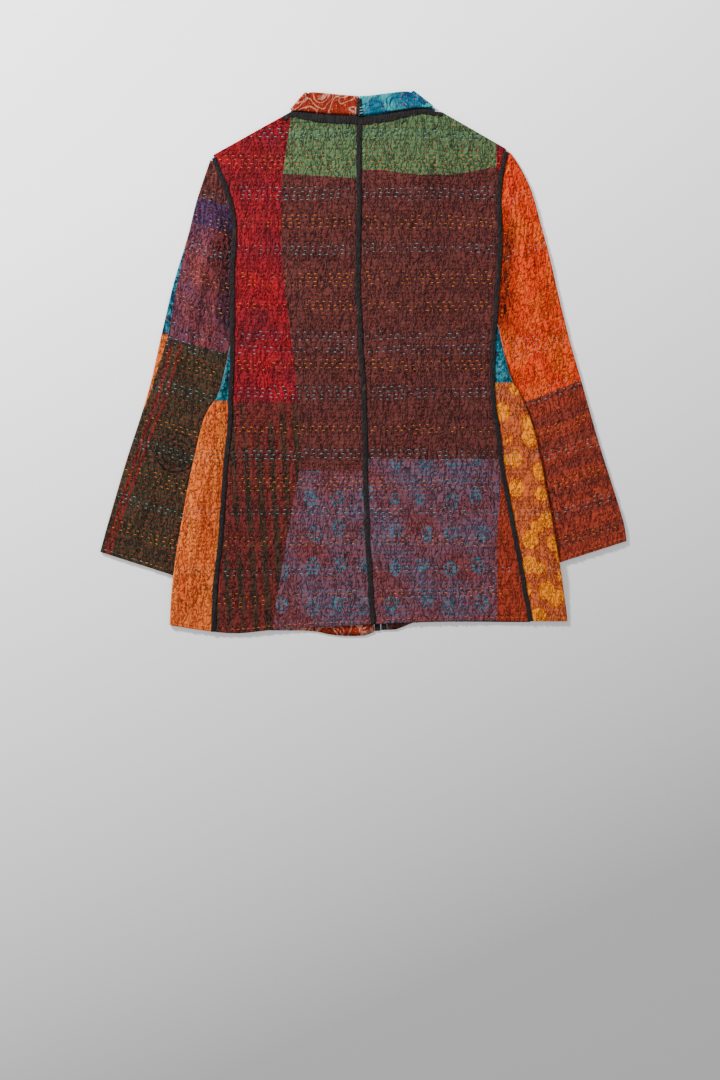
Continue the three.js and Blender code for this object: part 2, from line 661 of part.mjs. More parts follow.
function jacket() {
  const group = new THREE.Group();
  group.add(frontPanel('left', '#8c3a28'), frontPanel('right', '#8c3a28'));
  group.add(backPanel('left', '#8a2a30'), backPanel('right', '#5e3836'));
  group.add(sidePanel('left', '#b06038'), sidePanel('right', '#d08038'));
  group.add(sleeve('left', '#54423c'), sleeve('right', '#b84a34'));
  group.add(collar('left', '#b24a2c'), collar('right', '#2a9cb0'));
  group.add(seamStrip('binding_centre_back', 'centre', CENTRE_STRIP_TOP));
  group.add(seamStrip('binding_back_left', 'left', SHOULDERS.left.tipY - STRIP_TIP_GAP));
  group.add(seamStrip('binding_back_right', 'right', SHOULDERS.right.tipY - STRIP_TIP_GAP));
  group.add(neckStrip(), collarStrip(), frontStrip('left'), frontStrip('right'));
  const box = new THREE.Box3().setFromObject(group);
  group.position.set(-(box.min.x + box.max.x) / 2, -(box.min.y + box.max.y) / 2, 0);
  return group;
}

export default jacket();
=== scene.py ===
# %% [markdown]
# A quilted patchwork jacket lies flat on its front, and the camera looks down on its back.
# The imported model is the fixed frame: every piece below is a finer skin over one of its nodes.
# %% Load the frame
import math
import bpy
import numpy as np
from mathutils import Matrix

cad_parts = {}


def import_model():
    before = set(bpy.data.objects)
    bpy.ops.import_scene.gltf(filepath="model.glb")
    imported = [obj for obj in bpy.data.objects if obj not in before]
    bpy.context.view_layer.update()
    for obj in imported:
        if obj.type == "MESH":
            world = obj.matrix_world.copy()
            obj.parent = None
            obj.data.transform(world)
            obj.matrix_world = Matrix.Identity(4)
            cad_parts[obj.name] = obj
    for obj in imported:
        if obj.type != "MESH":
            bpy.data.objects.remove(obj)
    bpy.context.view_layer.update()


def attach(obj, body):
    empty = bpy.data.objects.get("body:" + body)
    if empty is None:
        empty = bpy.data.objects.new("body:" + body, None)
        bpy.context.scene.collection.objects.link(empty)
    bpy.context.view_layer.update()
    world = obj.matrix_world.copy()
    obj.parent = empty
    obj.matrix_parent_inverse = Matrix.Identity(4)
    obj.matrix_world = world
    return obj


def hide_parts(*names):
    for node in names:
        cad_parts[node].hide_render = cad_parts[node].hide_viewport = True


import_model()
MM = 0.001

# %% [markdown]
# The jacket is drawn in millimetres, as a maker would, with Y up the back. The frame's origin is the
# middle of its box, so one small shift brings the drawing and the frame together.
# %% Sizes of the cloth, its seams and its layers
SHIFT = (0.15, -1.2)
WALL = 1.6
SEAM_GAP = 0.3
LAYER_STEP = 2.0
NECK_LIFT = 1.9
NECK_MIDDLE = (-1, 345)
OVAL_HALF = (130, 90)
HEM_FADE = 120
ROW = 5.6
STITCH_PITCH = 10.6
HEM_Y = -373
CUFF_TILT = math.radians(17.8)
QUILT_HEIGHT = 1.15
CRINKLE = 0.5

# %% [markdown]
# Each seam is a short table of heights and places. A smooth curve through the rows gives the rest:
# between two rows it blends their values and follows the slope from the neighbours on either side.
# %% Seam tables and the curve through them
SEAMS = np.array([
    # y, left seam, centre seam, right seam
    (-382, -214.4, 14.5, 240.2), (-332, -213.4, 11.1, 231.8), (-243, -203.9, 5.4, 216.1),
    (-166, -198.8, 2.9, 201.3), (-93, -192.0, 1.9, 191.6), (-36, -189.5, -0.1, 184.8),
    (27, -187.5, -3.9, 185.9), (114, -187.3, -8.0, 192.0), (162, -185.8, -7.6, 194.8),
    (199, -184.8, -6.6, 195.2), (235, -190.9, -6.4, 193.8), (266, -202.9, -6.4, 196.0),
    (304, -216.0, -6.4, 204.0), (345, -216.0, -6.4, 204.0),
])
COLUMN = {"left": 1, "centre": 2, "right": 3}
SHOULDER = {"left": (-214.4, 298.6, -110.8, 356.1), "right": (203.4, 307.4, 109.4, 361.0)}
NECK = {
    # y, x out from the centre seam
    "left": np.array([(344.5, -6.7), (345.2, -30), (346.5, -50), (348.5, -68), (351.2, -82),
                      (353.8, -92), (355.5, -99)]),
    "right": np.array([(344.5, -6.1), (345.4, 10), (348.0, 29), (351.6, 47), (355.2, 62),
                       (358.4, 76), (360.0, 86)]),
}
FRONT_NECK = {
    "left": np.array([(281.5, -16), (286, -38), (295, -57), (307, -72), (321, -84), (334, -92),
                      (346, -97), (355.5, -99)]),
    "right": np.array([(281.5, 20), (286, 42), (295, 60), (307, 74), (321, 83), (334, 87),
                       (346, 88), (360, 86)]),
}
BACK_HEM = np.array([(-280, 0), (-221, 9), (-181, 12), (-127, 7), (-39, 2), (115, -5), (292, -5)])
FRONT_HEM = np.array([(-216, 6), (-130, 8), (-72, 9), (-40, 15), (4, 15), (22, 8), (50, 6),
                      (70, -3), (242, -4)])
SIDES = {
    # y, fold, tucked sleeve, lift over it
    "left": np.array([
        (-382, -277.5, 27, 0), (-350, -276.0, 27, 1.4), (-314, -273.2, 25, 4.5),
        (-265, -266.7, 23, 4.5), (-217, -258.3, 22, 4.5), (-165, -248.8, 21, 4.5),
        (-123, -239.2, 20, 4.5), (-84, -229.8, 15, 4.5), (-63, -220.4, 8, 4.5),
        (-47, -209.0, -0.6, 4.5), (-35, -204.6, -0.6, 4.4), (-23, -201.3, -0.6, 3.0),
        (0, -196.0, -0.6, 0), (22, -191.4, -0.6, 0), (38, -187.9, -0.6, 0)]),
    "right": np.array([
        (-382, 292.5, 36, 0), (-366, 291.0, 36, 0.4), (-333, 286.7, 36, 2.2), (-300, 282.5, 34, 4.5),
        (-240, 272.4, 29.4, 4.5), (-200, 265.3, 27.3, 4.5), (-162, 258.1, 25, 4.5),
        (-127, 251.0, 23, 4.5), (-100, 245.2, 20.5, 4.5), (-74, 236.7, 16, 4.5),
        (-52, 228.1, 11, 4.5), (-37, 220.9, 5, 4.5), (-27, 213.4, -0.6, 4.5),
        (-16, 209.0, -0.6, 4.4), (14, 200.9, -0.6, 2.2), (47, 193.8, -0.6, 0), (64, 189.2, -0.6, 0)]),
}
SIDE_TOP = {"left": 21, "right": 54}
UNDERARM = {"left": 38, "right": 64}
SLEEVE_FOLD = {
    "left": np.array([(-216.9, 298.0), (-238.1, 234.5), (-251.0, 183.0), (-271.6, 114.4),
                      (-288.7, 42.2), (-308.2, -41.5), (-339.6, -140.1), (-365.4, -228.1),
                      (-376.5, -268.6)]),
    "right": np.array([(206.2, 307.4), (225.2, 278.8), (241.0, 244.5), (253.8, 198.8),
                       (265.3, 156.6), (279.6, 94.4), (295.3, 31.5), (311.0, -22.9),
                       (336.8, -113.7), (371.5, -225.0), (376.2, -253.1)]),
}
OUT = {"left": -1.0, "right": 1.0}


def curve(keys, values, at):
    """A smooth curve through (key, value) pairs: a cubic between neighbours, with mean slopes."""
    keys, values, at = (np.asarray(v, float) for v in (keys, values, at))
    slope = np.empty_like(values)
    slope[1:-1] = (values[2:] - values[:-2]) / (keys[2:] - keys[:-2])
    slope[0] = (values[1] - values[0]) / (keys[1] - keys[0])
    slope[-1] = (values[-1] - values[-2]) / (keys[-1] - keys[-2])
    i = np.clip(np.searchsorted(keys, at) - 1, 0, len(keys) - 2)
    span = keys[i + 1] - keys[i]
    t = np.clip((at - keys[i]) / span, 0, 1)
    rise = t * t * (3 - 2 * t)
    bend = t * (1 - t) * span
    return values[i] + (values[i + 1] - values[i]) * rise + bend * ((1 - t) * slope[i] - t * slope[i + 1])


def seam(name, y):
    """Across-place of a seam at height y."""
    return curve(SEAMS[:, 0], SEAMS[:, COLUMN[name]], y)


def smooth(value, low, high):
    """0 below low, 1 above high, and a soft S between."""
    t = np.clip((value - low) / (high - low), 0, 1)
    return t * t * (3 - 2 * t)


def outer_end(side, y):
    """Side seam below the shoulder tip, straight shoulder line above it."""
    tip_x, tip_y, neck_x, neck_y = SHOULDER[side]
    shoulder = tip_x + (y - tip_y) * (neck_x - tip_x) / (neck_y - tip_y)
    return np.where(y > tip_y, shoulder, seam(side, y) - OUT[side] * SEAM_GAP / 2)


def oval(x, y):
    """Distance from the neck's middle, in shares of an oval 260 by 180 mm."""
    return np.hypot((x - NECK_MIDDLE[0]) / OVAL_HALF[0], (y - NECK_MIDDLE[1]) / OVAL_HALF[1])


def front_height(x, y):
    """The fronts rise over the collar's fall inside the oval and lie on the surface outside it."""
    return NECK_LIFT * (1 - smooth(oval(x, y), 1, 1.5))


def back_height(x, y):
    """The back lies one layer over the fronts, and a little clearer on their slope."""
    out = oval(x, y)
    return front_height(x, y) + LAYER_STEP + 0.9 * smooth(out, 0.8, 1) * (1 - smooth(out, 1.4, 1.7))


def hem_shift(table, x, y):
    """The hem's wave, fading out above it."""
    return -curve(table[:, 0], table[:, 1], x) * (1 - smooth(y - HEM_Y, 0, HEM_FADE))


print("hem width", round(float(seam("right", HEM_Y) - seam("left", HEM_Y))), "mm between the side seams")

# %% [markdown]
# Running stitch pulls layered old cotton into soft ribs between the rows, and washing crinkles them.
# A displacement texture could fake this, but the ribs show at the edges too, so they are real points.
# %% Ribs and crinkles of the quilting
WAVE_SEED = 7
WAVE_COUNT = 26
SLOWEST_WAVE = 0.25
FASTEST_WAVE = 1.25
WAVE_SLANT = 0.35
waves = np.random.default_rng(WAVE_SEED)
WAVE_X = waves.uniform(SLOWEST_WAVE, FASTEST_WAVE, WAVE_COUNT) * waves.choice([-1, 1], WAVE_COUNT)
WAVE_Y = waves.uniform(-WAVE_SLANT, WAVE_SLANT, WAVE_COUNT)
WAVE_PHASE = waves.uniform(0, 6.28, WAVE_COUNT)


def crinkle(x, y):
    """A sum of short waves, mostly across the rows' direction, about 5 to 25 mm long."""
    total = np.zeros(np.shape(x))
    for kx, ky, phase in zip(WAVE_X, WAVE_Y, WAVE_PHASE):
        total += np.sin(kx * x + ky * y + phase)
    return total / math.sqrt(WAVE_COUNT)


def row_phase(across, along):
    """Rows run a little crooked, as by hand: the distance along the piece plus two slow wanders."""
    slow = 2.4 * np.sin(across * 0.017 + along * 0.006)
    quick = 0.7 * np.sin(across * 0.051 + along * 0.02)
    return along + slow + quick


def quilt(x, y, across, along):
    """Rib height: a rounded arch between two rows, as high as its own crinkles, plus fine ones."""
    phase = row_phase(across, along) / ROW
    arch = np.sqrt(np.abs(np.sin(math.pi * phase)))
    row = np.floor(phase)
    lively = 0.75 + 0.35 * crinkle(x + 13 * row, y * 0.3)
    return QUILT_HEIGHT * arch * np.clip(lively, 0.15, 1.6) + CRINKLE * crinkle(x, y * 0.5) * arch


# %% [markdown]
# A sheet of cloth is a grid of points in rows. numpy works out all of them at once, and from_pydata
# takes the grid with its quads. Distances to patch borders ride along as attributes, so the shader
# can cut the borders crisply whatever the grid's size.
# %% Grids of points made into meshes
BODY = "root"


def place(points):
    """From the drawing's millimetres to the frame's metres."""
    return (np.asarray(points, float) + np.array([*SHIFT, 0])) * MM


def mesh_piece(name, points, faces, attributes=None, smooth_shade=True):
    """One object at the origin, with its float attributes on its points."""
    mesh = bpy.data.meshes.new(name)
    mesh.from_pydata(place(points).tolist(), [], faces)
    for key, values in (attributes or {}).items():
        layer = mesh.attributes.new(key, "FLOAT", "POINT")
        layer.data.foreach_set("value", np.asarray(values, np.float32).ravel())
    mesh.polygons.foreach_set("use_smooth", np.full(len(mesh.polygons), smooth_shade))
    mesh.update()
    piece = bpy.data.objects.new(name, mesh)
    bpy.context.scene.collection.objects.link(piece)
    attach(piece, BODY)
    return piece


def dress(piece, material, node=None):
    """Gives a piece its material and its slot, and hides the frame's node it stands for, if there is one.
    """
    piece.data.materials.append(material)
    if node:
        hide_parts(node)
    return piece


def grid_faces(rows, columns, flip):
    """Quads between neighbouring rows and columns, turned over where flip is true."""
    i, j = np.meshgrid(np.arange(rows - 1), np.arange(columns - 1), indexing="ij")
    a = (i * columns + j).ravel()
    quads = np.stack([a, a + 1, a + columns + 1, a + columns], 1)
    return (quads[:, ::-1] if flip else quads).tolist()


def grid_piece(name, x, y, z, attributes, flip):
    """A sheet from three arrays of one shape, rows by columns."""
    points = np.stack([x, y, z], -1).reshape(-1, 3)
    return mesh_piece(name, points, grid_faces(*x.shape, flip), attributes)


def rim(x, y, z, drop):
    """Adds a turned-down edge all round a grid: the border again, lower by the wall."""
    x, y, z = (np.pad(v, 1, mode="edge") for v in (x, y, z))
    for edge in (np.s_[0, :], np.s_[-1, :], np.s_[:, 0], np.s_[:, -1]):
        z[edge] -= drop
    z[0, 0] = z[1, 1] - drop
    return x, y, z


def step_rows(start, end, step):
    """Evenly spaced places with a step no larger than given."""
    return np.linspace(start, end, int(abs(end - start) / step) + 2)


# %% [markdown]
# Shader maths reads best as plain expressions. This class wraps a node's output, so that adding or
# multiplying two of them adds the Math node. Everything else goes through one method, node.
# %% Shader values as Python expressions
class Value:
    """A wrapped shader output that knows + - and *, on either side."""

    def __init__(self, shader, link):
        self.shader, self.link = shader, link

    def math(self, operation, *others):
        """A Math node with this value first."""
        inputs = dict(enumerate([self, *others]))
        return self.shader.node("ShaderNodeMath", {"operation": operation}, inputs)

    def reflected(self, operation, other):
        """A Math node with this value second."""
        return self.shader.node("ShaderNodeMath", {"operation": operation}, {0: other, 1: self})

    def __add__(self, other):
        return self.math("ADD", other)

    def __sub__(self, other):
        return self.math("SUBTRACT", other)

    def __mul__(self, other):
        return self.math("MULTIPLY", other)

    def __rsub__(self, other):
        return self.reflected("SUBTRACT", other)

    __radd__ = __add__
    __rmul__ = __mul__


def paint(red, green, blue):
    """A screen colour in 0 to 255 as linear light."""
    c = np.array([red, green, blue]) / 255
    return (*np.where(c <= 0.04045, c / 12.92, ((c + 0.055) / 1.055) ** 2.4).tolist(), 1.0)


EXPOSURE = (0.84, 0.82, 0.8, 1)
DEPTH_OF_COLOUR = 1.13
PUCKER_DEPTH = 0.002
PUCKER_SCALE = 178
THREAD_SCALE = 520.0


class Shader:
    """A material's node tree, with short names for what cloth needs."""

    def __init__(self, name):
        self.material = bpy.data.materials.new(name)
        self.material.use_nodes = True
        self.tree = self.material.node_tree
        self.surface = self.tree.nodes["Principled BSDF"]
        self.where = self.node("ShaderNodeTexCoord", output="Object")

    def node(self, kind, settings=None, inputs=None, output=0):
        """Adds a node: its settings first, then the values or links of its sockets."""
        made = self.tree.nodes.new(kind)
        for key, value in (settings or {}).items():
            setattr(made, key, value)
        for key, value in (inputs or {}).items():
            self.feed(made.inputs[key], value)
        return Value(self, made.outputs[output])

    def feed(self, socket, value):
        """Links a wrapped value, or sets a plain one."""
        if isinstance(value, Value):
            self.tree.links.new(value.link, socket)
        else:
            socket.default_value = value

    def mix(self, share, first, second, blend="MIX"):
        """Two colours mixed by a share."""
        settings = {"data_type": "RGBA", "blend_type": blend}
        return self.node("ShaderNodeMix", settings, {0: share, 6: first, 7: second}, 2)

    def inside(self, key, soft=0.5):
        """1 where a distance attribute is over zero, with an edge soft millimetres wide."""
        distance = self.node("ShaderNodeAttribute", {"attribute_name": key}, output="Fac")
        return self.clamp(distance * (1 / soft) + 0.5)

    def clamp(self, value, low=0.0, high=1.0):
        """The value, held between two limits."""
        return value.math("MAXIMUM", low).math("MINIMUM", high)

    def stretched(self, scale, turn=0.0):
        """The object's coordinates, scaled and turned about Z."""
        inputs = {"Vector": self.where, "Scale": scale, "Rotation": (0, 0, turn)}
        return self.node("ShaderNodeMapping", None, inputs)

    def noise(self, scale, detail=2.0, stretch=(1, 1, 1), turn=0.0, twist=0.0):
        """Soft noise about 0.5, finer with scale and drawn out where stretch is small."""
        inputs = {"Vector": self.stretched(stretch, turn), "Scale": scale, "Detail": detail,
                  "Distortion": twist}
        return self.node("ShaderNodeTexNoise", None, inputs)

    def cells(self, scale, stretch=(1, 1, 1), turn=0.0, uneven=0.4):
        """Distance from the middle of the nearest cell of a scattered grid."""
        inputs = {"Vector": self.stretched(stretch, turn), "Scale": scale, "Randomness": uneven}
        return self.node("ShaderNodeTexVoronoi", None, inputs, "Distance")

    def bands(self, scale, direction="X", twist=0.0, turn=0.0):
        """Waves from 0 to 1 along one axis, bent by a twist."""
        inputs = {"Vector": self.stretched((1, 1, 1), turn), "Scale": scale, "Distortion": twist,
                  "Detail": 2.0, "Detail Scale": 1.2}
        return self.node("ShaderNodeTexWave", {"bands_direction": direction}, inputs, 1)

    def over(self, value, level, soft=0.04):
        """1 where a value is over a level, with a soft edge."""
        return self.clamp((value - level) * (1 / soft) + 0.5)

    def puckers(self):
        """Small pillows between thin winding creases, upright and a few millimetres apart."""
        worms = self.noise(PUCKER_SCALE, 2.0, (1.0, 0.42, 1.0), 0.0, 0.7)
        pillow = self.clamp((worms - 0.5).math("ABSOLUTE") * 9.0).math("POWER", 0.6)
        finer = self.noise(380, 1.0, (1.0, 0.6, 1.0), 0.35, 0.4)
        return pillow * 0.75 + finer * 0.25

    def cloth(self, colour, roughness=0.88, sheen=0.05, creased=1.0, hollow_shade=None):
        """Finishes a cloth: painted shade in pucker valleys, painted highlight on their crests, worn tone,
        painted shade in a marked trough if one is given, thread bump and a soft sheen.
        """
        height = self.puckers()
        valley = self.clamp((0.62 - height) * 2.6)
        crest = self.clamp((height - 0.7) * 5.0)
        worn = self.noise(14.0, 4.0)
        tone = self.mix(self.clamp(worn * 1.6 - 0.35), colour, (0.55, 0.5, 0.5, 1), "MULTIPLY")
        base = self.mix(1.0, self.mix(0.4, colour, tone), EXPOSURE, "MULTIPLY")
        base = self.node("ShaderNodeGamma", None, {"Color": base, "Gamma": DEPTH_OF_COLOUR})
        # Painted shade: the colour darkens in the puckers' valleys, stronger or weaker by a slow noise, and
        # a warm painted highlight lightens their crests.
        dark = self.mix(1.0, base, (0.16, 0.14, 0.16, 1), "MULTIPLY")
        patchy = self.noise(20, 1.0) * 0.9 + 0.45
        base = self.mix(self.clamp(valley * patchy * (0.95 * creased)), base, dark)
        base = self.mix(crest * (0.12 * creased), base, (1.0, 0.8, 0.72, 1), "SOFT_LIGHT")
        # Painted shade: the named attribute darkens the colour along the trough beside the armhole.
        if hollow_shade:
            depth = self.node("ShaderNodeAttribute", {"attribute_name": hollow_shade}, output="Fac")
            shade = self.mix(1.0, base, (0.07, 0.05, 0.07, 1), "MULTIPLY")
            base = self.mix(self.clamp(depth * (0.72 + valley * 0.4)), base, shade)
        warp = self.noise(THREAD_SCALE, 2.0, (1.0, 0.35, 1.0)) * 0.5
        weft = self.noise(THREAD_SCALE, 2.0, (0.35, 1.0, 1.0)) * 0.5
        fine = warp + weft
        self.feed(self.surface.inputs["Base Color"], base)
        self.feed(self.surface.inputs["Roughness"], fine * 0.25 + valley * 0.1 + (roughness - 0.16))
        relief = height * creased + fine * 0.1
        inputs = {"Strength": 1.0, "Distance": PUCKER_DEPTH, "Height": relief}
        bump = self.node("ShaderNodeBump", None, inputs)
        self.feed(self.surface.inputs["Normal"], bump)
        self.surface.inputs["Sheen Weight"].default_value = sheen
        self.surface.inputs["Sheen Roughness"].default_value = 0.4
        self.surface.inputs["Specular IOR Level"].default_value = 0.12
        return self.material


# %% [markdown]
# The jacket is patched from old printed and woven cloths. Each patch is a function that returns its
# colour pattern, so that one panel's material can lay several side by side.
# %% The patches' patterns
def mottled(scale, detail, first, second, stretch=(1, 1, 1)):
    """A plain cloth: two screen colours mixed by a soft noise, drawn out along its slubs."""
    def pattern(s):
        return s.mix(s.noise(scale, detail, stretch), paint(*first), paint(*second))
    return pattern


brown = mottled(60, 3, (76, 38, 38), (112, 64, 60), (0.25, 1.6, 1))
green = mottled(70, 3, (74, 100, 70), (104, 128, 90), (0.3, 1.5, 1))
rust = mottled(36, 3, (128, 44, 30), (172, 70, 44))
purple = mottled(44, 3, (62, 42, 78), (92, 62, 96))
orange_edge = mottled(40, 3, (196, 92, 40), (226, 126, 58))
thin_red = mottled(60, 2, (96, 36, 34), (126, 44, 38))
ring_shade = mottled(60, 2, (34, 33, 27), (46, 43, 33))


def crimson(s):
    """Two reds in soft patches, with faint darker figures from scattered cells."""
    figure = s.over(s.cells(62, (1, 0.75, 1), 0.3, 0.8), 0.42, 0.15)
    ground = s.mix(s.over(s.noise(17, 3), 0.5, 0.3), paint(116, 32, 42), paint(164, 20, 36))
    return s.mix(figure * 0.3, ground, paint(112, 26, 46))


def maroon_striped(s):
    """Upright olive bars on maroon, broken by level checks and left out where a slow noise is low."""
    bars = s.over(s.bands(17.0, "X", 0.25, -0.06), 0.55, 0.3)
    beside = s.over(s.noise(9, 1), 0.4, 0.12)
    checks = s.over(s.bands(27.0, "Y", 0.3), 0.4, 0.25)
    ground = s.mix(s.noise(50, 3), paint(92, 38, 38), paint(122, 50, 46))
    weave = s.mix(checks * 0.2, ground, paint(84, 52, 40))
    return s.mix(bars * (checks * 0.25 + 0.65) * beside, weave, paint(54, 54, 40))


def mauve(s):
    """Small ringed flowers on a nearly even grid of cells, over a ground that goes from red to blue."""
    spot = s.cells(25, (1, 0.8, 1), 0.0, 0.3)
    dots = (1 - s.over(spot, 0.25, 0.06)) * (s.over(spot, 0.11, 0.08) * 0.75 + 0.25)
    petals = s.over(s.noise(260, 2, (0.6, 1.3, 1)), 0.5, 0.12)
    ground = s.mix(s.over(s.noise(16, 3), 0.5, 0.3), paint(116, 66, 72), paint(96, 90, 112))
    weft = s.over(s.bands(28.0, "Y", 0.5), 0.6, 0.5)
    return s.mix(dots * petals * 0.85, s.mix(weft * 0.3, ground, paint(132, 56, 58)), paint(38, 118, 138))


def teal(s):
    """Dark winding figures where a twisted noise is high."""
    figure = s.over(s.noise(75, 2, twist=1.5), 0.52, 0.08)
    return s.mix(figure, paint(30, 132, 148), paint(24, 66, 98))


def salmon(s):
    """Long upright streaks from a noise drawn out along Y."""
    streaks = s.noise(46, 3, (2.2, 0.25, 1))
    return s.mix(s.over(streaks, 0.5, 0.6), paint(196, 78, 34), paint(236, 132, 56))


def golden_flowers(s):
    """Round flowers from cells with wavy edges, each with a thin darker outline."""
    petals = s.cells(34, (1, 0.85, 1), 0.2, 0.6) + s.noise(120, 2) * 0.2
    flower = 1 - s.over(petals, 0.56, 0.03)
    outline = s.over(petals, 0.48, 0.03) * flower
    ground = s.mix(s.noise(60, 2), paint(176, 84, 46), paint(202, 108, 60))
    return s.mix(outline * 0.8, s.mix(flower, ground, paint(238, 142, 14)), paint(178, 74, 30))


def plum(s):
    """Blotches of brown and violet."""
    blotch = s.over(s.noise(18, 3, (1, 0.6, 1)), 0.52, 0.25)
    return s.mix(blotch, paint(126, 64, 66), paint(92, 62, 86))


def olive_bands(s):
    """Dark olive with thin reddish bands across the sleeve."""
    weft = s.over(s.bands(30.0, "Y", 0.3, 0.31), 0.75, 0.2)
    ground = s.mix(s.noise(30, 3), paint(54, 50, 38), paint(76, 68, 48))
    return s.mix(weft * 0.35, ground, paint(104, 52, 40))


def vermilion(s):
    """Orange red with faint paler swirls."""
    swirl = s.over(s.noise(34, 1, (1, 0.7, 1), 0.3, 1.2), 0.54, 0.05)
    ground = s.mix(s.noise(26, 3, (1, 0.5, 1)), paint(204, 32, 6), paint(238, 92, 10))
    return s.mix(swirl * 0.2, ground, paint(246, 140, 56))


def brick(s):
    """Brick red with broad darker bands across the sleeve."""
    band = s.over(s.bands(9.0, "Y", 1.0, -0.31), 0.62, 0.3)
    ground = s.mix(s.noise(40, 3), paint(132, 50, 38), paint(168, 74, 50))
    return s.mix(band * 0.5, ground, paint(104, 52, 46))


def swirls(s, scale, turn, width):
    """Winding lines of a set width: where a twisted noise crosses its middle value."""
    curl = s.noise(scale, 0.6, (1, 1, 1), turn, 2.6)
    return 1 - s.over((curl - 0.5).math("ABSOLUTE"), width, 0.015)


def sewn_dots(s):
    """The small stitches of the collar, too fine there for solid thread."""
    return 1 - s.over(s.cells(150, (1, 1, 1), 0.0, 0.5), 0.16, 0.04)


def rust_arabesque(s):
    """Pale winding lines and small orange stitches on rust."""
    figured = s.mix(swirls(s, 29, 0.4, 0.052) * 0.8, paint(146, 46, 24), paint(206, 148, 128))
    return s.mix(sewn_dots(s) * 0.7, figured, paint(226, 132, 30))


def turquoise_arabesque(s):
    """Dark winding lines and small pink stitches on a mottled turquoise."""
    mottle = s.over(s.noise(38, 3), 0.5, 0.2)
    ground = s.mix(mottle, paint(58, 172, 178), paint(14, 108, 136))
    ringed = s.mix(swirls(s, 30, 0.5, 0.04) * 0.85, ground, paint(30, 62, 112))
    return s.mix(sewn_dots(s) * 0.8, ringed, paint(196, 84, 84))


def patched(name, base, *patches, hollow_shade=None, creased=1.0):
    """A material of patches: each lies where its distance attribute is over zero. A named trough attribute
    adds painted shade.
    """
    shader = Shader(name)
    colour = base(shader)
    for key, pattern in patches:
        colour = shader.mix(shader.inside(key), colour, pattern(shader))
    return shader.cloth(colour, hollow_shade=hollow_shade, creased=creased)


def binding_material():
    """Nearly black cotton with a few brown flecks."""
    shader = Shader("binding")
    fleck = shader.over(shader.noise(90, 3), 0.66, 0.06)
    colour = shader.mix(fleck * 0.5, paint(46, 44, 45), paint(96, 70, 60))
    return shader.cloth(colour, 0.9, 0.0, 0.5)


def thread_material():
    """Three thread colours by the stitches' own attribute: 0 pale blue, 1 orange, 2 coral."""
    shader = Shader("thread")
    tint = shader.node("ShaderNodeAttribute", {"attribute_name": "tint"}, output="Fac")
    warm = shader.mix(shader.over(tint, 1.5, 0.2), paint(226, 132, 30), paint(168, 50, 44))
    colour = shader.mix(shader.over(tint, 0.5, 0.2), paint(112, 162, 174), warm)
    return shader.cloth(colour, 0.6, 0.1, 0.0)


BINDING = binding_material()
THREAD = thread_material()
print("patterns ready, materials so far", len(bpy.data.materials))

# %% [markdown]
# Running stitches are thousands of short threads, so each panel's are one joined mesh. Every stitch is
# a low arch of four cross-sections with three points each, and carries its thread's colour number.
# %% Stitches as joined meshes
DASH_LENGTH = 4.1
DASH_WIDTH = 0.95
DASH_HEIGHT = 0.5
THREAD_LIFT = 0.3
SEAM_CLEAR = 7
ARCH_POINTS = 12
TINT_BANDS = [
    # lower y, upper y, thread
    (320, 336, 0), (277, 299, 1), (234, 253, 0), (194, 213, 1), (156, 172, 0), (111, 133, 1),
    (76, 90, 1), (33, 47, 0), (14, 28, 0), (-10, 8, 1), (-51, -31, 0), (-100, -86, 1),
    (-137, -121, 0), (-181, -162, 1), (-218, -204, 0), (-261, -245, 1), (-300, -288, 0), (-339, -321, 1),
]


def thread_number(y):
    """The thread of a row by its height: pale blue and orange in bands, coral between them."""
    number = np.full(np.shape(y), 2.0)
    for low, high, thread in TINT_BANDS:
        number = np.where((y > low) & (y < high), thread, number)
    return number


def dashes(name, x, y, z, angle, tint, length=DASH_LENGTH, width=DASH_WIDTH):
    """Arches along an angle: width and height taper to both ends, ends dip into the cloth."""
    along = np.array([-0.5, -0.28, 0.28, 0.5]) * length
    taper = np.array([0.55, 1.0, 1.0, 0.55])
    aside = np.array([-0.5, 0.0, 0.5]) * width
    lift = np.outer(np.array([-0.2, 1.0, 1.0, -0.2]), [0.0, 1.0, 0.0]) * DASH_HEIGHT - 0.15
    u = np.repeat(along[:, None], 3, 1).ravel()
    v = np.outer(taper, aside).ravel()
    c, s = np.cos(angle)[:, None], np.sin(angle)[:, None]
    points = np.stack([
        x[:, None] + c * u - s * v,
        y[:, None] + s * u + c * v,
        z[:, None] + lift.ravel(),
    ], -1)
    i, j = np.meshgrid(np.arange(3), np.arange(2), indexing="ij")
    a = (i * 3 + j).ravel()
    quads = np.stack([a, a + 3, a + 4, a + 1], 1)
    faces = (quads[None] + ARCH_POINTS * np.arange(len(x))[:, None, None]).reshape(-1, 4)
    piece = mesh_piece(name, points.reshape(-1, 3), faces.tolist(), {"tint": np.repeat(tint, ARCH_POINTS)})
    print(name, len(x), "stitches")
    return dress(piece, THREAD)


def stitch_places(across_low, across_high, along_low, along_high, seed):
    """Rows a stitch row apart, each with its own start: arrays of across and along places."""
    draw = np.random.default_rng(seed)
    numbers = np.arange(int(along_low / ROW), int(along_high / ROW) + 1)
    steps = np.arange(across_low, across_high, STITCH_PITCH)
    across = steps[None] + draw.uniform(0, STITCH_PITCH, len(numbers))[:, None]
    across = across + draw.normal(0, 0.8, across.shape)
    along = np.repeat(numbers[:, None] * ROW, len(steps), 1)
    along = along - (row_phase(across, along) - along)
    kept = (draw.random(across.shape) > 0.03) & (along > along_low)
    return across[kept], along[kept]
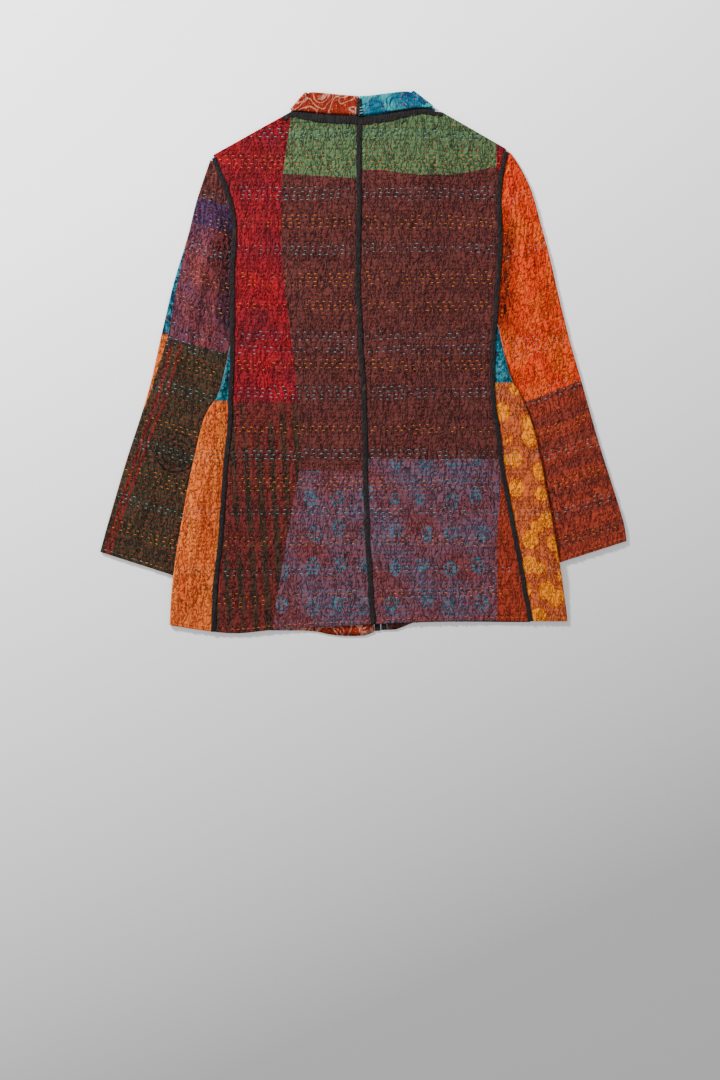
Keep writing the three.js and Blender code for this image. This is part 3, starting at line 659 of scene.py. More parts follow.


# %% [markdown]
# Folds of the laid cloth are few and uneven, so they are listed one by one: a middle, a lean, a length,
# a width and a height. Low ones run over the back; the sleeves have high crests beside the armholes.
# %% Creases listed one by one
CREASES = np.array([
    # x, y, lean in degrees from up the back, reach, width, height
    (-150, 205, -38, 46, 7, 0.9), (-128, 120, -20, 60, 9, 0.8), (-160, 40, 32, 40, 7, 0.9),
    (-120, -60, 12, 70, 10, 0.7), (-150, -220, -8, 80, 11, 0.8), (-60, 240, 28, 50, 8, 0.7),
    (-40, 90, 6, 90, 9, 0.7), (-55, -90, -14, 70, 9, 0.8), (-60, -260, 5, 80, 12, 0.9),
    (40, 215, -22, 55, 8, 0.7), (70, 60, 10, 85, 9, 0.8), (150, 190, 30, 48, 7, 0.9),
    (135, 20, -30, 45, 7, 1.0), (60, -110, 18, 66, 9, 0.8), (120, -240, -6, 90, 12, 0.9),
    (165, -130, 14, 60, 9, 0.8), (-240, -230, 5, 75, 8, 0.8), (262, -250, -8, 70, 9, 0.9),
    (-231, 130, 12, 95, 12, 4.0), (-262, 20, 16, 90, 17, 2.0), (-300, -150, 20, 110, 26, 1.8),
    (-222, 40, 24, 46, 7, 1.4), (-250, 90, -14, 34, 6, 1.3), (-318, -205, 60, 34, 8, 1.1),
    (-284, -60, 52, 36, 8, 1.2), (-270, -205, 30, 40, 8, 1.0),
    (232, 150, -12, 100, 12, 4.0), (262, 30, -15, 90, 17, 2.0), (305, -130, -19, 110, 26, 1.8),
    (222, 60, -26, 44, 7, 1.5), (252, 110, 16, 36, 6, 1.3), (318, -180, -58, 36, 8, 1.1),
    (286, -40, -50, 38, 8, 1.2), (275, -200, -30, 42, 8, 1.0),
])


def creases(x, y):
    """The sum of soft ridges, each a bell across and a longer bell along its own line."""
    total = np.zeros(np.shape(x))
    for cx, cy, lean, reach, width, height in CREASES:
        turn = math.radians(lean)
        along = ((y - cy) * math.cos(turn) + (x - cx) * math.sin(turn)) / reach
        aside = ((x - cx) * math.cos(turn) - (y - cy) * math.sin(turn)) / width
        total += height * np.exp(-along ** 2 - aside ** 2)
    return total


# %% [markdown]
# A back panel runs from its side seam to the centre seam, row by row, up to the shoulder and the neck.
# %% Back panels
def area_under(widths, places):
    """Sum of mean width times step, the area between a row of widths."""
    return float(np.sum((widths[1:] + widths[:-1]) / 2 * np.diff(places)))


def line(points, at):
    """Straight lines through the points of a border."""
    points = np.asarray(points, float)
    return np.interp(at, points[:, 0], points[:, 1])


YOKE_EDGE = {
    # x, y
    "left": [(-110, 271), (0, 264.5)],
    "right": [(0, 277), (25, 277), (76, 270), (128, 270), (192, 282)],
}
OUTER_EDGE = {
    # y, x
    "left": [(-380, -129), (-343, -126), (-270, -113), (-207, -102), (-153, -92), (-113, -91), (-54, -94),
             (31, -102), (94, -111), (172, -118), (260, -117), (302, -111), (349, -104)],
    "right": [(-369, 191), (-243, 191), (-144, 198)],
}
LOW_TOP = {"left": -153, "right": -136}
OUTER_LOW_TOP = {"left": -54, "right": -140}
TIP_CORNER = (190, 277)
BACK_STEP = 1.4
BACK_COLUMNS = 100
RIM_DROP = WALL - 0.2
FACE = WALL - 0.25


def panel_ends(side, y):
    """The across-places of a back row's outer and centre ends."""
    neck = NECK[side]
    centre = seam("centre", y) + OUT[side] * SEAM_GAP / 2
    curved = curve(neck[:, 0], neck[:, 1], y)
    return outer_end(side, y), np.where(y < neck[0, 0], centre, curved)


def back_surface(x, y):
    """Height of the back's outer face: its layer, the quilting and the creases."""
    side_seam = np.where(x < 0, seam("left", y), seam("right", y))
    from_seam = np.minimum(np.abs(x - seam("centre", y)), np.abs(x - side_seam))
    free = smooth(from_seam, 2.5, 9)
    quilted = quilt(x, y, x, y - HEM_Y) * (0.35 + 0.65 * free)
    return back_height(x, y) + FACE + quilted + creases(x, y) * free


def back_piece(side, material):
    """A grid of rows from the hem to the neck, with each point's distance inside every patch border."""
    neck_y, top = NECK[side][[0, -1], 0]
    y = np.concatenate([step_rows(HEM_Y, neck_y - 0.5, BACK_STEP), step_rows(neck_y, top, 0.9)])
    share = step_rows(0, 1, 1 / BACK_COLUMNS)
    start, end = panel_ends(side, y)
    x = start[:, None] + (end - start)[:, None] * share[None]
    rows = np.repeat(y[:, None], len(share), 1)
    z = back_surface(x, rows)
    shown_y = rows + hem_shift(BACK_HEM, x, rows)
    outer = (x - line(OUTER_EDGE[side], rows)) * OUT[side]
    marks = {
        "yoke": rows - line(YOKE_EDGE[side], x),
        "low": LOW_TOP[side] - rows,
        "outer": outer,
        "outer_low": np.minimum(outer, OUTER_LOW_TOP[side] - rows),
        "tip": np.minimum(x - TIP_CORNER[0], rows - TIP_CORNER[1]),
    }
    area = float(area_under(np.abs(end - start), y)) * MM * MM
    x, shown_y, z = rim(x, shown_y, z, RIM_DROP)
    marks = {key: np.pad(v, 1, mode="edge") for key, v in marks.items()}
    piece = grid_piece(f"cloth_back_{side}", x, shown_y, z, marks, side == "right")
    dress(piece, material, f"back_{side}")
    return piece, area


def back_stitches(side, seed):
    """Rows of stitches over the whole back, kept where they lie clear of this panel's two ends."""
    x, along = stitch_places(-240, 245, 4, 740, seed)
    y = along + HEM_Y
    start, end = panel_ends(side, y)
    low, high = np.minimum(start, end), np.maximum(start, end)
    kept = (x > low + SEAM_CLEAR) & (x < high - SEAM_CLEAR) & (y < 343)
    x, y = x[kept], y[kept]
    z = back_surface(x, y) + THREAD_LIFT
    shown_y = y + hem_shift(BACK_HEM, x, y)
    return dashes(f"stitches_back_{side}", x, shown_y, z, np.zeros(len(x)), thread_number(y))


BACK_LEFT = patched("back_left_patches", brown, ("yoke", green), ("low", mauve), ("outer", crimson),
                    ("outer_low", maroon_striped))
BACK_RIGHT = patched("back_right_patches", brown, ("yoke", green), ("low", mauve), ("outer_low", rust),
                     ("tip", crimson))
back_left, area_left = back_piece("left", BACK_LEFT)
back_right, area_right = back_piece("right", BACK_RIGHT)
left_threads = back_stitches("left", 11)
right_threads = back_stitches("right", 12)
print("back panels", round(area_left, 3), round(area_right, 3), "square metres")

# %% [markdown]
# Side panels and sleeves are sheets folded in two. One row goes over the upper layer, round the fold
# and back underneath; the lower layer is plain, because it rests flat.
# %% Folded sheets
FOLD_HALF = WALL + 0.2
SIDE_COLUMNS = 36
UPPER_BORDER = {"left": -53, "right": -27}
ARC = np.radians([75, 50, 25, 0, -25, -50, -75])


def end_doubled(rows):
    """The rows with the first and the last one twice, for the turned-in ends."""
    return np.concatenate([rows[:1], rows, rows[-1:]])


def folded(upper_w, reach, top, lift, name, lay, marks, flip):
    """Rows of w and z over, round and under. lay(w) gives x and y; top and lift give the heights."""
    middle = lift[:, -1:] + FOLD_HALF
    swell = top[:, -1:] - (lift[:, -1:] + 2 * FOLD_HALF)
    arc_w = reach[:, None] + FOLD_HALF * np.cos(ARC)[None]
    arc_z = middle + FOLD_HALF * np.sin(ARC)[None] + swell * np.clip(np.sin(ARC), 0, 1)[None]
    under = np.arange(upper_w.shape[1] - 1, -1, -6)
    w = np.concatenate([upper_w[:, :1], upper_w, arc_w, upper_w[:, under], upper_w[:, under[-1:]]], 1)
    inner = top[:, :1] - WALL + 0.1
    z = np.concatenate([inner, top, arc_z, lift[:, under], lift[:, under[-1:]] + WALL - 0.1], 1)
    ends_z = np.where(np.arange(w.shape[1]) < upper_w.shape[1] + 4, -1.0, 1.0) * FACE
    z = np.concatenate([z[:1] + ends_z, z, z[-1:] + ends_z])
    x, y = lay(end_doubled(w))
    spread = np.concatenate([
        np.zeros(1, int), np.arange(upper_w.shape[1]), np.full(len(ARC), upper_w.shape[1] - 1), under,
        under[-1:]])
    marks = {key: np.pad(v[:, spread], ((1, 1), (0, 0)), mode="edge") for key, v in marks.items()}
    return grid_piece(name, x, y, z, marks, flip)


def side_row(side, y):
    """A side panel's seam, width, lift and the two ends of its climb, at heights y."""
    table = SIDES[side]
    start = seam(side, y) + OUT[side] * SEAM_GAP
    width = OUT[side] * (curve(table[:, 0], table[:, 1], y) - start)
    lift = np.maximum(curve(table[:, 0], table[:, 3], y), 0)
    reach = width - FOLD_HALF
    climb_start = np.minimum(5.5, reach * 0.6)
    climb_end = np.minimum(width - curve(table[:, 0], table[:, 2], y) - 3, reach * 0.8)
    return start, reach, lift, climb_start, climb_end


def side_surface(side, w, y, parts):
    """The lower layer's height, and the outer face's height with its quilting."""
    start, reach, lift, low, high = parts
    climb = lift * np.clip((w - low) / (high - low), 0, 1)
    x = start + OUT[side] * w
    edge = 0.3 + 0.7 * smooth(w, 3, 9) * smooth(reach + 6 - w, 2, 8)
    top = climb + LAYER_STEP + FACE + (quilt(x, y, x, y - HEM_Y) + creases(x, y)) * edge
    return climb, np.maximum(top, climb + 2 * FOLD_HALF - 0.3)


def side_piece(side, material):
    """A folded sheet from the seam to the fold and back, with the patch border at one height."""
    y = step_rows(HEM_Y, SIDE_TOP[side], BACK_STEP)
    parts = [v[:, None] for v in side_row(side, y)]
    reach = parts[1]
    w = reach * step_rows(0, 1, 1 / SIDE_COLUMNS)[None]
    rows = np.repeat(y[:, None], w.shape[1], 1)
    lift, top = side_surface(side, w, rows, parts)
    all_y, all_start = end_doubled(y)[:, None], end_doubled(parts[0])

    def lay(places):
        x = all_start + OUT[side] * places
        heights = np.repeat(all_y, places.shape[1], 1)
        return x, heights + hem_shift(BACK_HEM, x, heights)

    marks = {"upper": rows - UPPER_BORDER[side]}
    piece = folded(w, reach[:, 0], top, lift, f"cloth_side_{side}", lay, marks, side == "left")
    dress(piece, material, f"side_{side}")
    area = 2 * float(area_under(reach[:, 0] + FOLD_HALF, y)) * MM * MM
    return piece, area


def side_stitches(side, seed):
    """Rows of stitches level with the back's, kept where they lie on this panel."""
    across, along = stitch_places(-300, 300, 4, 430, seed)
    y = along + HEM_Y
    parts = side_row(side, y)
    w = OUT[side] * (across - parts[0])
    kept = (w > SEAM_CLEAR) & (w < parts[1] - 1) & (y < SIDE_TOP[side] - 4)
    w, y, x = w[kept], y[kept], across[kept]
    z = side_surface(side, w, y, [v[kept] for v in parts])[1] + THREAD_LIFT
    shown_y = y + hem_shift(BACK_HEM, x, y)
    return dashes(f"stitches_side_{side}", x, shown_y, z, np.zeros(len(x)), thread_number(y))


side_pieces = {
    side: side_piece(side, patched(f"side_{side}_patches", pattern, ("upper", teal)))
    for side, pattern in (("left", salmon), ("right", golden_flowers))
}
for seed, (side, (side_cloth, side_area)) in enumerate(side_pieces.items(), 21):
    side_stitches(side, seed)
    print("side panel", side, round(side_area, 3), "square metres")

# %% [markdown]
# A sleeve's rows lie parallel to its cuff, which is tilted. Its inner edge follows the armhole, then
# the side panel's fold, and then runs tucked under it, so that edge is measured along the sleeve.
# %% Sleeves
def sleeve_frame(side):
    """The directions down a sleeve and across it, outwards."""
    down = np.array([OUT[side] * math.sin(CUFF_TILT), -math.cos(CUFF_TILT)])
    across = np.array([OUT[side] * math.cos(CUFF_TILT), math.sin(CUFF_TILT)])
    return down, across


def sleeve_edges(side):
    """Both long edges as (distance down the sleeve, place across it)."""
    down, across = sleeve_frame(side)
    y = np.arange(SHOULDER[side][1], -340, -7.0)
    table = SIDES[side]
    beside_seam = seam(side, y) + OUT[side] * 0.6
    beside_fold = curve(table[:, 0], table[:, 1], y) - OUT[side] * curve(table[:, 0], table[:, 2], y)
    inner = np.stack([np.where(y > UNDERARM[side], beside_seam, beside_fold), y], 1)
    outer = SLEEVE_FOLD[side]
    return [np.stack([points @ down, points @ across], 1) for points in (inner, outer)]


def sleeve_row(side, along):
    """The inner edge's place and the width up to the fold's start, at distances along."""
    inner, outer = sleeve_edges(side)
    start = curve(inner[:, 0], inner[:, 1], along)
    return start, curve(outer[:, 0], outer[:, 1], along) - start - FOLD_HALF


def sleeve_point(side, along, w, start):
    """x and y of a place: so far down the sleeve, and so far across from its inner edge."""
    down, across = sleeve_frame(side)
    return tuple(d * along + a * (start + w) for d, a in zip(down, across))


def sleeve_surface(side, along, w, start, reach):
    """The outer face: quilting, creases that fade to the seam and the fold, and the armhole trough."""
    x, y = sleeve_point(side, along, w, start)
    free = smooth(w, 4, 15) * smooth(reach - w, 1, 15)
    swell = creases(x, y) * free
    quilted = quilt(x, y, w, along) * (0.35 + 0.65 * smooth(w, 2, 8))
    tucked = smooth(-y, 60, 90) * (1 - smooth(w, 20, 36))
    return LAYER_STEP + FACE + swell + quilted * (1 - 0.7 * tucked)


SLEEVE_COLUMNS = 58
SLEEVE_STEP = 1.5
LOWER_EDGE = {
    # x, y
    "left": [(-290, 40), (-203, 16)],
    "right": [(232, -54), (311, -24)],
}
PATCH_SLANT = 0.32
EDGE_STRIP = 10
RINGS_MIDDLE = (-268, -127)
RING_STEP = 8.5
EDGE_LINES = {
    # half width, distance from the fold, lean
    "edge_line": (2.6, 14, 0.035),
    "edge_line_2": (2.2, 24, 0.06),
}


def sleeve_piece(side, material):
    """A folded sheet whose rows lie parallel to the cuff, with every patch border's distances."""
    inner, outer = sleeve_edges(side)
    cuff = outer[-1, 0]
    along = step_rows(cuff, inner[0, 0] + 2, SLEEVE_STEP)
    start, reach = sleeve_row(side, along)
    kept = reach > 4
    along, start, reach = along[kept], start[kept], reach[kept]
    w = reach[:, None] * step_rows(0, 1, 1 / SLEEVE_COLUMNS)[None]
    rows, starts = (np.repeat(v[:, None], w.shape[1], 1) for v in (along, start))
    top = sleeve_surface(side, rows, w, starts, reach[:, None])
    x, y = sleeve_point(side, rows, w, starts)
    fold_x = np.interp(-y, -SLEEVE_FOLD[side][:, 1], SLEEVE_FOLD[side][:, 0])
    from_fold = np.abs(x - fold_x)
    circle = np.hypot(x - RINGS_MIDDLE[0], y - RINGS_MIDDLE[1])
    slanted = y + PATCH_SLANT * (x + 222)
    marks = {
        "head": slanted - 234,
        "second": slanted - 196,
        "lower": line(LOWER_EDGE[side], x) - y,
        "teal_edge": np.minimum(EDGE_STRIP - 0.065 * (y - 43) - from_fold, y - 43),
        "orange_edge": np.minimum(EDGE_STRIP - 0.075 * (42 - y) - from_fold, 42 - y),
        # Painted shade along the trough beside the armhole: a band near the inner edge, which the shader
        # darkens.
        "hollow_shade": np.exp(-((w - 11) / 14) ** 2) * smooth(y, 0, 80) * (1 - smooth(y, 185, 235)),
        "rings": np.minimum(1.2 - np.abs((circle + 2) % RING_STEP - RING_STEP / 2), 34 - circle),
    }
    for name, (half, away, lean) in EDGE_LINES.items():
        marks[name] = np.minimum(half - np.abs(from_fold - away - lean * (y + 100)), 30 - y)
    all_along, all_start = end_doubled(along)[:, None], end_doubled(start)[:, None]
    lift = np.zeros_like(top)

    def lay(places):
        return sleeve_point(side, all_along, places, all_start)

    piece = folded(w, reach, top, lift, f"cloth_sleeve_{side}", lay, marks, side == "right")
    dress(piece, material, f"sleeve_{side}")
    area = 2 * abs(float(area_under(reach + FOLD_HALF, along))) * MM * MM
    return piece, area


def sleeve_stitches(side, seed):
    """Rows of stitches parallel to the cuff. Their thread follows the height of the sleeve's middle."""
    inner, outer = sleeve_edges(side)
    w, along = stitch_places(0, 150, inner[0, 0], outer[-1, 0] - 4, seed)
    start, reach = sleeve_row(side, along)
    kept = (w > 6) & (w < reach - 1) & (reach > 14)
    w, along, start, reach = w[kept], along[kept], start[kept], reach[kept]
    x, y = sleeve_point(side, along, w, start)
    z = sleeve_surface(side, along, w, start, reach) + THREAD_LIFT
    angle = np.full(len(x), OUT[side] * CUFF_TILT)
    band = sleeve_point(side, along, 45, start)[1]
    return dashes(f"stitches_sleeve_{side}", x, y, z, angle, thread_number(band))


# Both sleeves darken their armhole trough with painted shade.
LEFT_SLEEVE = patched("sleeve_left_patches", plum, ("second", purple), ("head", brown), ("teal_edge", teal),
                      ("lower", olive_bands), ("orange_edge", orange_edge), ("edge_line", thin_red),
                      ("edge_line_2", thin_red), ("rings", ring_shade), hollow_shade="hollow_shade")
RIGHT_SLEEVE = patched("sleeve_right_patches", vermilion, ("lower", brick), hollow_shade="hollow_shade")
for side, material, seed in (("left", LEFT_SLEEVE, 31), ("right", RIGHT_SLEEVE, 32)):
    sleeve_cloth, sleeve_area = sleeve_piece(side, material)
    "front_" + side
    sleeve_stitches(side, seed)
    print("sleeve", side, round(sleeve_area, 3), "square metres of", round(0.34 * 0.60, 3))

# %% [markdown]
# The collar is a section carried round the neck: stand, roll and fall. At the end of each shoulder it
# turns under the jacket, and the same section carries on along the front's neck edge.
# %% Collar halves
COLLAR = {
    # seam x, seam y, top x, top y, share of the fall, turn in degrees
    "left": np.array([
        (-6.7, 344.8, -6.7, 382.5, 0.71, 0), (-30, 345.5, -24, 383.5, 0.71, 0),
        (-50, 346.8, -40, 385, 0.72, 0), (-68, 348.8, -54, 386.5, 0.73, 0),
        (-82, 351.6, -65, 387.5, 0.76, 0), (-92, 354.2, -72.5, 388, 0.8, 0),
        (-99, 355.9, -77, 387.5, 0.82, 0), (-105, 356.9, -79.5, 386, 0.85, 0),
        (-105, 356.9, -79.5, 386, 0.85, 45), (-105, 356.9, -79.5, 386, 0.85, 90),
        (-105, 356.9, -79.5, 386, 0.86, 135), (-105, 356.9, -79.5, 386, 0.88, 180),
        (-98.3, 356.2, -72, 375, 1.0, 180), (-96.5, 346, -66, 362, 1.2, 180),
        (-91.5, 334, -60, 349, 1.4, 180), (-83.5, 321.4, -54, 338, 1.5, 180),
        (-71.6, 307.5, -46, 328, 1.5, 180), (-56.7, 295.5, -36, 320, 1.5, 180),
        (-37.8, 286.5, -22, 315, 1.5, 180), (-15.8, 282, -7, 312, 1.5, 180)]),
    "right": np.array([
        (-6.1, 344.8, -6.1, 382.5, 0.71, 0), (10, 345.7, 8, 383, 0.71, 0), (29, 348.3, 23, 385, 0.72, 0),
        (47, 351.9, 38, 387, 0.73, 0), (62, 355.5, 49, 388.5, 0.76, 0), (76, 358.7, 58, 389, 0.78, 0),
        (86, 360.3, 63, 389, 0.8, 0), (102, 361.6, 68, 387.5, 0.83, 0), (102, 361.6, 68, 387.5, 0.83, 45),
        (102, 361.6, 68, 387.5, 0.84, 90), (102, 361.6, 68, 387.5, 0.85, 135),
        (102, 361.6, 68, 387.5, 0.88, 180), (85.4, 360.6, 62, 376, 1.0, 180),
        (87.4, 346, 60, 362, 1.2, 180), (86.4, 334, 57, 349, 1.4, 180), (82.4, 321.4, 54, 338, 1.5, 180),
        (73.6, 307.5, 48, 328, 1.5, 180), (59.6, 295.5, 38, 320, 1.5, 180),
        (41.8, 286.5, 25, 315, 1.5, 180), (19.8, 282, 11, 312, 1.5, 180)]),
}
COLLAR_MIDDLE = 3.7


def ring_piece(name, rings):
    """A closed section carried along: rings of points, joined in turn and capped at both ends."""
    count, sides = rings.shape[:2]
    i, j = np.meshgrid(np.arange(count - 1), np.arange(sides), indexing="ij")
    a, b = (i * sides + j).ravel(), (i * sides + (j + 1) % sides).ravel()
    quads = np.stack([a, b, b + sides, a + sides], 1).tolist()
    k = np.arange(sides // 2 - 1)
    cap = np.stack([k, sides - 1 - k, sides - 2 - k, k + 1], 1)
    faces = quads + cap.tolist() + (cap[:, ::-1] + (count - 1) * sides).tolist()
    piece = mesh_piece(name, rings.reshape(-1, 3), faces)
    bpy.context.view_layer.objects.active = piece
    piece.select_set(True)
    bpy.ops.object.mode_set(mode="EDIT")
    bpy.ops.mesh.select_all(action="SELECT")
    bpy.ops.mesh.normals_make_consistent(inside=False)
    bpy.ops.object.mode_set(mode="OBJECT")
    piece.select_set(False)
    return piece


FALL_OFF_BACK = 3.7
FALL_OFF_FRONT = 2.1
STAND_OFF = 0.2
FALL_WRINKLE = 0.45


def collar_piece(side, material):
    """Sections along the neck seam. Each goes up the stand, round the roll and down the fall, and its
    turn swings it from over the back to under the front."""
    table = COLLAR[side]
    at = np.arange(0, len(table) - 0.999, 0.125)
    seam_x, seam_y, top_x, top_y, fall, turn = (np.interp(at, np.arange(len(table)), c) for c in table.T)
    height = np.hypot(top_x - seam_x, top_y - seam_y)
    ux, uy = (top_x - seam_x) / height, (top_y - seam_y) / height
    front = turn / 180
    turn = np.radians(turn)
    fall_in = FALL_OFF_BACK + (FALL_OFF_FRONT - FALL_OFF_BACK) * front
    fall_out = fall_in + WALL

    def face(stand, out, wrinkle):
        """Distances up the stand and off its plane for one face of the cloth."""
        roll = height - (fall_out - 0.2) / 2
        radius, middle = (out - stand) / 2, (out + stand) / 2
        d = [roll * t for t in np.linspace(0, 1, 7)]
        off = [stand + 0 * roll for _ in d]
        for angle in np.radians([-60, -30, 0, 30, 60]):
            d.append(roll + radius * math.cos(angle))
            off.append(middle + radius * math.sin(angle))
        drop = height * fall
        for t in np.linspace(0, 1, 10):
            d.append(roll + (height - drop - roll) * t)
            off.append(out + wrinkle * crinkle(at * 19, 0 * at + 31 * t) * (1 - front) * (1 - 0.5 * t))
        return np.stack(d, 1), np.stack(off, 1)

    d_out, off_out = face(STAND_OFF + 0 * at, fall_out, FALL_WRINKLE)
    d_in, off_in = face(STAND_OFF + WALL + 0 * at, fall_in, 0.0)
    d = np.concatenate([d_out, d_in[:, ::-1]], 1)
    off = np.concatenate([off_out, off_in[:, ::-1]], 1)
    lean = off * np.sin(turn)[:, None]
    points = np.stack([
        seam_x[:, None] + ux[:, None] * d + lean * uy[:, None] * OUT[side],
        seam_y[:, None] + uy[:, None] * d - lean * ux[:, None] * OUT[side],
        COLLAR_MIDDLE + off * np.cos(turn)[:, None]], -1)
    piece = ring_piece(f"cloth_collar_{side}", points)
    dress(piece, material, f"collar_{side}")
    path = np.hypot(np.gradient(seam_x + top_x), np.gradient(seam_y + top_y)) / 2
    area = float(np.sum(path * height * (1 + fall))) * MM * MM
    return piece, area


for side, pattern in (("left", rust_arabesque), ("right", turquoise_arabesque)):
    half, half_area = collar_piece(side, patched(f"collar_{side}_cloth", pattern, creased=0.5))
    print("collar half", side, round(half_area, 4), "square metres")

# %% [markdown]
# The fronts are hidden but for the hem, and their outer faces rest flat, so they are plain closed walls.
# %% Fronts
FRONT_EDGE = (2, 281, 25, -380)
FRONT_BOUND = 9.3
FRONT_COLUMNS = 16


def front_edge_x(y):
    """The line where both fronts meet, straight from the neck to the hem."""
    top_x, top_y, hem_x, hem_y = FRONT_EDGE
    return top_x + (y - top_y) * (hem_x - top_x) / (hem_y - top_y)


def front_piece(side, material):
    """A closed wall: rows from the side seam to the bound edge, upper face and lower face joined."""
    neck = FRONT_NECK[side]
    y = np.concatenate([step_rows(HEM_Y, 279.5, 7), step_rows(281.5, neck[-1, 0], 1.5)])
    edge = front_edge_x(y) + OUT[side] * FRONT_BOUND
    centre = np.where(y < neck[0, 0], edge, curve(neck[:, 0], neck[:, 1], y))
    start = outer_end(side, y)
    share = step_rows(0, 1, 1 / FRONT_COLUMNS)
    x = start[:, None] + (centre - start)[:, None] * share[None]
    rows = np.repeat(y[:, None], x.shape[1], 1)
    shown = rows + hem_shift(FRONT_HEM, x, rows)
    base = front_height(x, rows)
    upper = np.stack([x, shown, base + WALL], -1)
    lower = np.stack([x, shown, base], -1)
    piece = ring_piece(f"cloth_front_{side}", np.concatenate([upper, lower[:, ::-1]], 1))
    dress(piece, material, f"front_{side}")
    return piece, float(area_under(np.abs(centre - start), y)) * MM * MM


for side, pattern in (("left", rust_arabesque), ("right", brown)):
    front, front_area = front_piece(side, patched("front_cloth_" + side, pattern))
    print("front", side, round(front_area, 3), "square metres")

# %% [markdown]
# Bias bindings are narrow strips with a rounded back. Sewn by hand, they wander and pucker a little.
# %% Bindings
BINDING_STEP = 2.0
DOME = np.array([(-1.0, -0.35), (-1.0, 0.45), (-0.86, 0.82), (-0.3, 1.0), (0.3, 1.0), (0.86, 0.82),
                 (1.0, 0.45), (1.0, -0.35)])


def strip_piece(name, x, y, z, half, height, seed=0.0):
    """A domed section carried along a line of middle points. Its middle wanders by two slow waves, its
    width changes by a twentieth, and a quick wave puckers its height."""
    dx, dy = np.gradient(x), np.gradient(y)
    length = np.hypot(dx, dy)
    nx, ny = dy / length, -dx / length
    run = np.cumsum(length)
    wander = 0.35 * np.sin(run * 0.071 + seed) + 0.2 * np.sin(run * 0.19 + 2 * seed)
    width = half * (1 + 0.05 * np.sin(run * 0.13 + seed))
    pucker = height * (0.85 + 0.22 * np.sin(run * 1.15 + seed) * np.sin(run * 0.31))
    aside = wander[:, None] + width[:, None] * DOME[:, 0]
    points = np.stack([x[:, None] + nx[:, None] * aside, y[:, None] + ny[:, None] * aside,
                       z[:, None] + pucker[:, None] * DOME[:, 1]], -1)
    return dress(ring_piece("cloth_" + name, points), BINDING, name)


def over_back(x, y):
    """The height of a strip's middle on the back: just over the outer face."""
    return back_height(x, y) + WALL + 0.75


def seam_binding(name, column, top):
    """Along a seam of the back from the hem to a height, with the length of its strip."""
    y = step_rows(HEM_Y, top, BINDING_STEP)
    x = seam(column, y)
    half = 3.5 if column == "centre" else 3.3
    piece = strip_piece(name, x, y + hem_shift(BACK_HEM, x, y), over_back(x, y), half, 1.0, top)
    return piece, len(y) * BINDING_STEP * MM


def neck_binding():
    """Along the neck edge, and a little way down each shoulder's end, where it narrows."""
    knots = np.concatenate([[(349.5, -115)], NECK["left"][::-1][:-1], NECK["right"][1:], [(355.5, 113)]])
    x = step_rows(-115, 113, BINDING_STEP)
    # In the middle the strip is widened and raised, so its black also covers the strip under the collar's
    # fall: partly binding, partly painted shade.
    middle = 1 - smooth(np.abs(x + 6), 70, 118)
    y = curve(knots[:, 1], knots[:, 0], x) + 3.2 * middle
    return strip_piece("binding_neck", x, y, over_back(x, y), 2.4 + 3.7 * middle, 0.8, 5.0), 0.24


def collar_binding():
    """Up the collar's centre seam, lower where the collar rolls over."""
    y = step_rows(355.5, 380.5, 1.5)
    x = np.full(len(y), -6.4)
    z = COLLAR_MIDDLE + 5.3 + 0.5 - 2.6 * smooth(y, 375, 383.5)
    return strip_piece("binding_collar", x, y, z, 4.0, 1.0, 8.0), 0.03


def front_binding(side):
    """Down the whole front edge, in a line with it."""
    y = step_rows(HEM_Y, 279, 3.0)
    x = front_edge_x(y) + OUT[side] * FRONT_BOUND / 2
    z = front_height(x, y) + 0.8
    shown_y = y + hem_shift(FRONT_HEM, x, y)
    return strip_piece(f"binding_front_{side}", x, shown_y, z, 4.0, 1.1, 2.0), 0.66


made = [
    seam_binding("binding_centre_back", "centre", 341.5),
    seam_binding("binding_back_left", "left", 294.5),
    seam_binding("binding_back_right", "right", 303),
    neck_binding(), collar_binding(), front_binding("left"), front_binding("right"),
]
print("bindings", len(made))

# %% [markdown]
# Warm dashes, between orange and coral, close the hem and both cuffs a few millimetres from the edge.
# %% Hem and cuff stitches
EDGE_PITCH = 7.4
EDGE_LIFT = 0.2
EDGE_TINT = 1.5
EDGE_DASH = (4.2, 1.0)


def hem_stitches():
    """One row along the hem, with a slight wave, left out at the three seams."""
    x = np.arange(-268, 284, EDGE_PITCH)
    y = np.full(len(x), HEM_Y + 5.5) + 0.5 * np.sin(x * 0.4)
    seams = [float(seam(name, HEM_Y)) for name in ("left", "centre", "right")]
    kept = np.all([np.abs(x - s) > 7 for s in seams], 0)
    x, y = x[kept], y[kept]
    z = back_surface(x, y)
    for side, beyond in (("left", x < seams[0]), ("right", x > seams[2])):
        parts = side_row(side, y[beyond])
        w = np.clip(OUT[side] * (x[beyond] - parts[0]), 0, parts[1])
        z[beyond] = side_surface(side, w, y[beyond], parts)[1]
    shown_y = y + hem_shift(BACK_HEM, x, y)
    tint = np.full(len(x), EDGE_TINT)
    return dashes("stitches_hem", x, shown_y, z + EDGE_LIFT, np.zeros(len(x)), tint, *EDGE_DASH)


def cuff_stitches(side):
    """One row along the cuff, from the part that shows out to the fold."""
    outer = sleeve_edges(side)[1]
    w = np.arange(36, 130, EDGE_PITCH)
    along = np.full(len(w), outer[-1, 0] - 5.0)
    start, reach = sleeve_row(side, along)
    kept = w < reach - 1
    w, along, start, reach = w[kept], along[kept], start[kept], reach[kept]
    x, y = sleeve_point(side, along, w, start)
    z = sleeve_surface(side, along, w, start, reach) + EDGE_LIFT
    angle, tint = np.full(len(x), OUT[side] * CUFF_TILT), np.full(len(x), EDGE_TINT)
    return dashes(f"stitches_cuff_{side}", x, y, z, angle, tint, *EDGE_DASH)


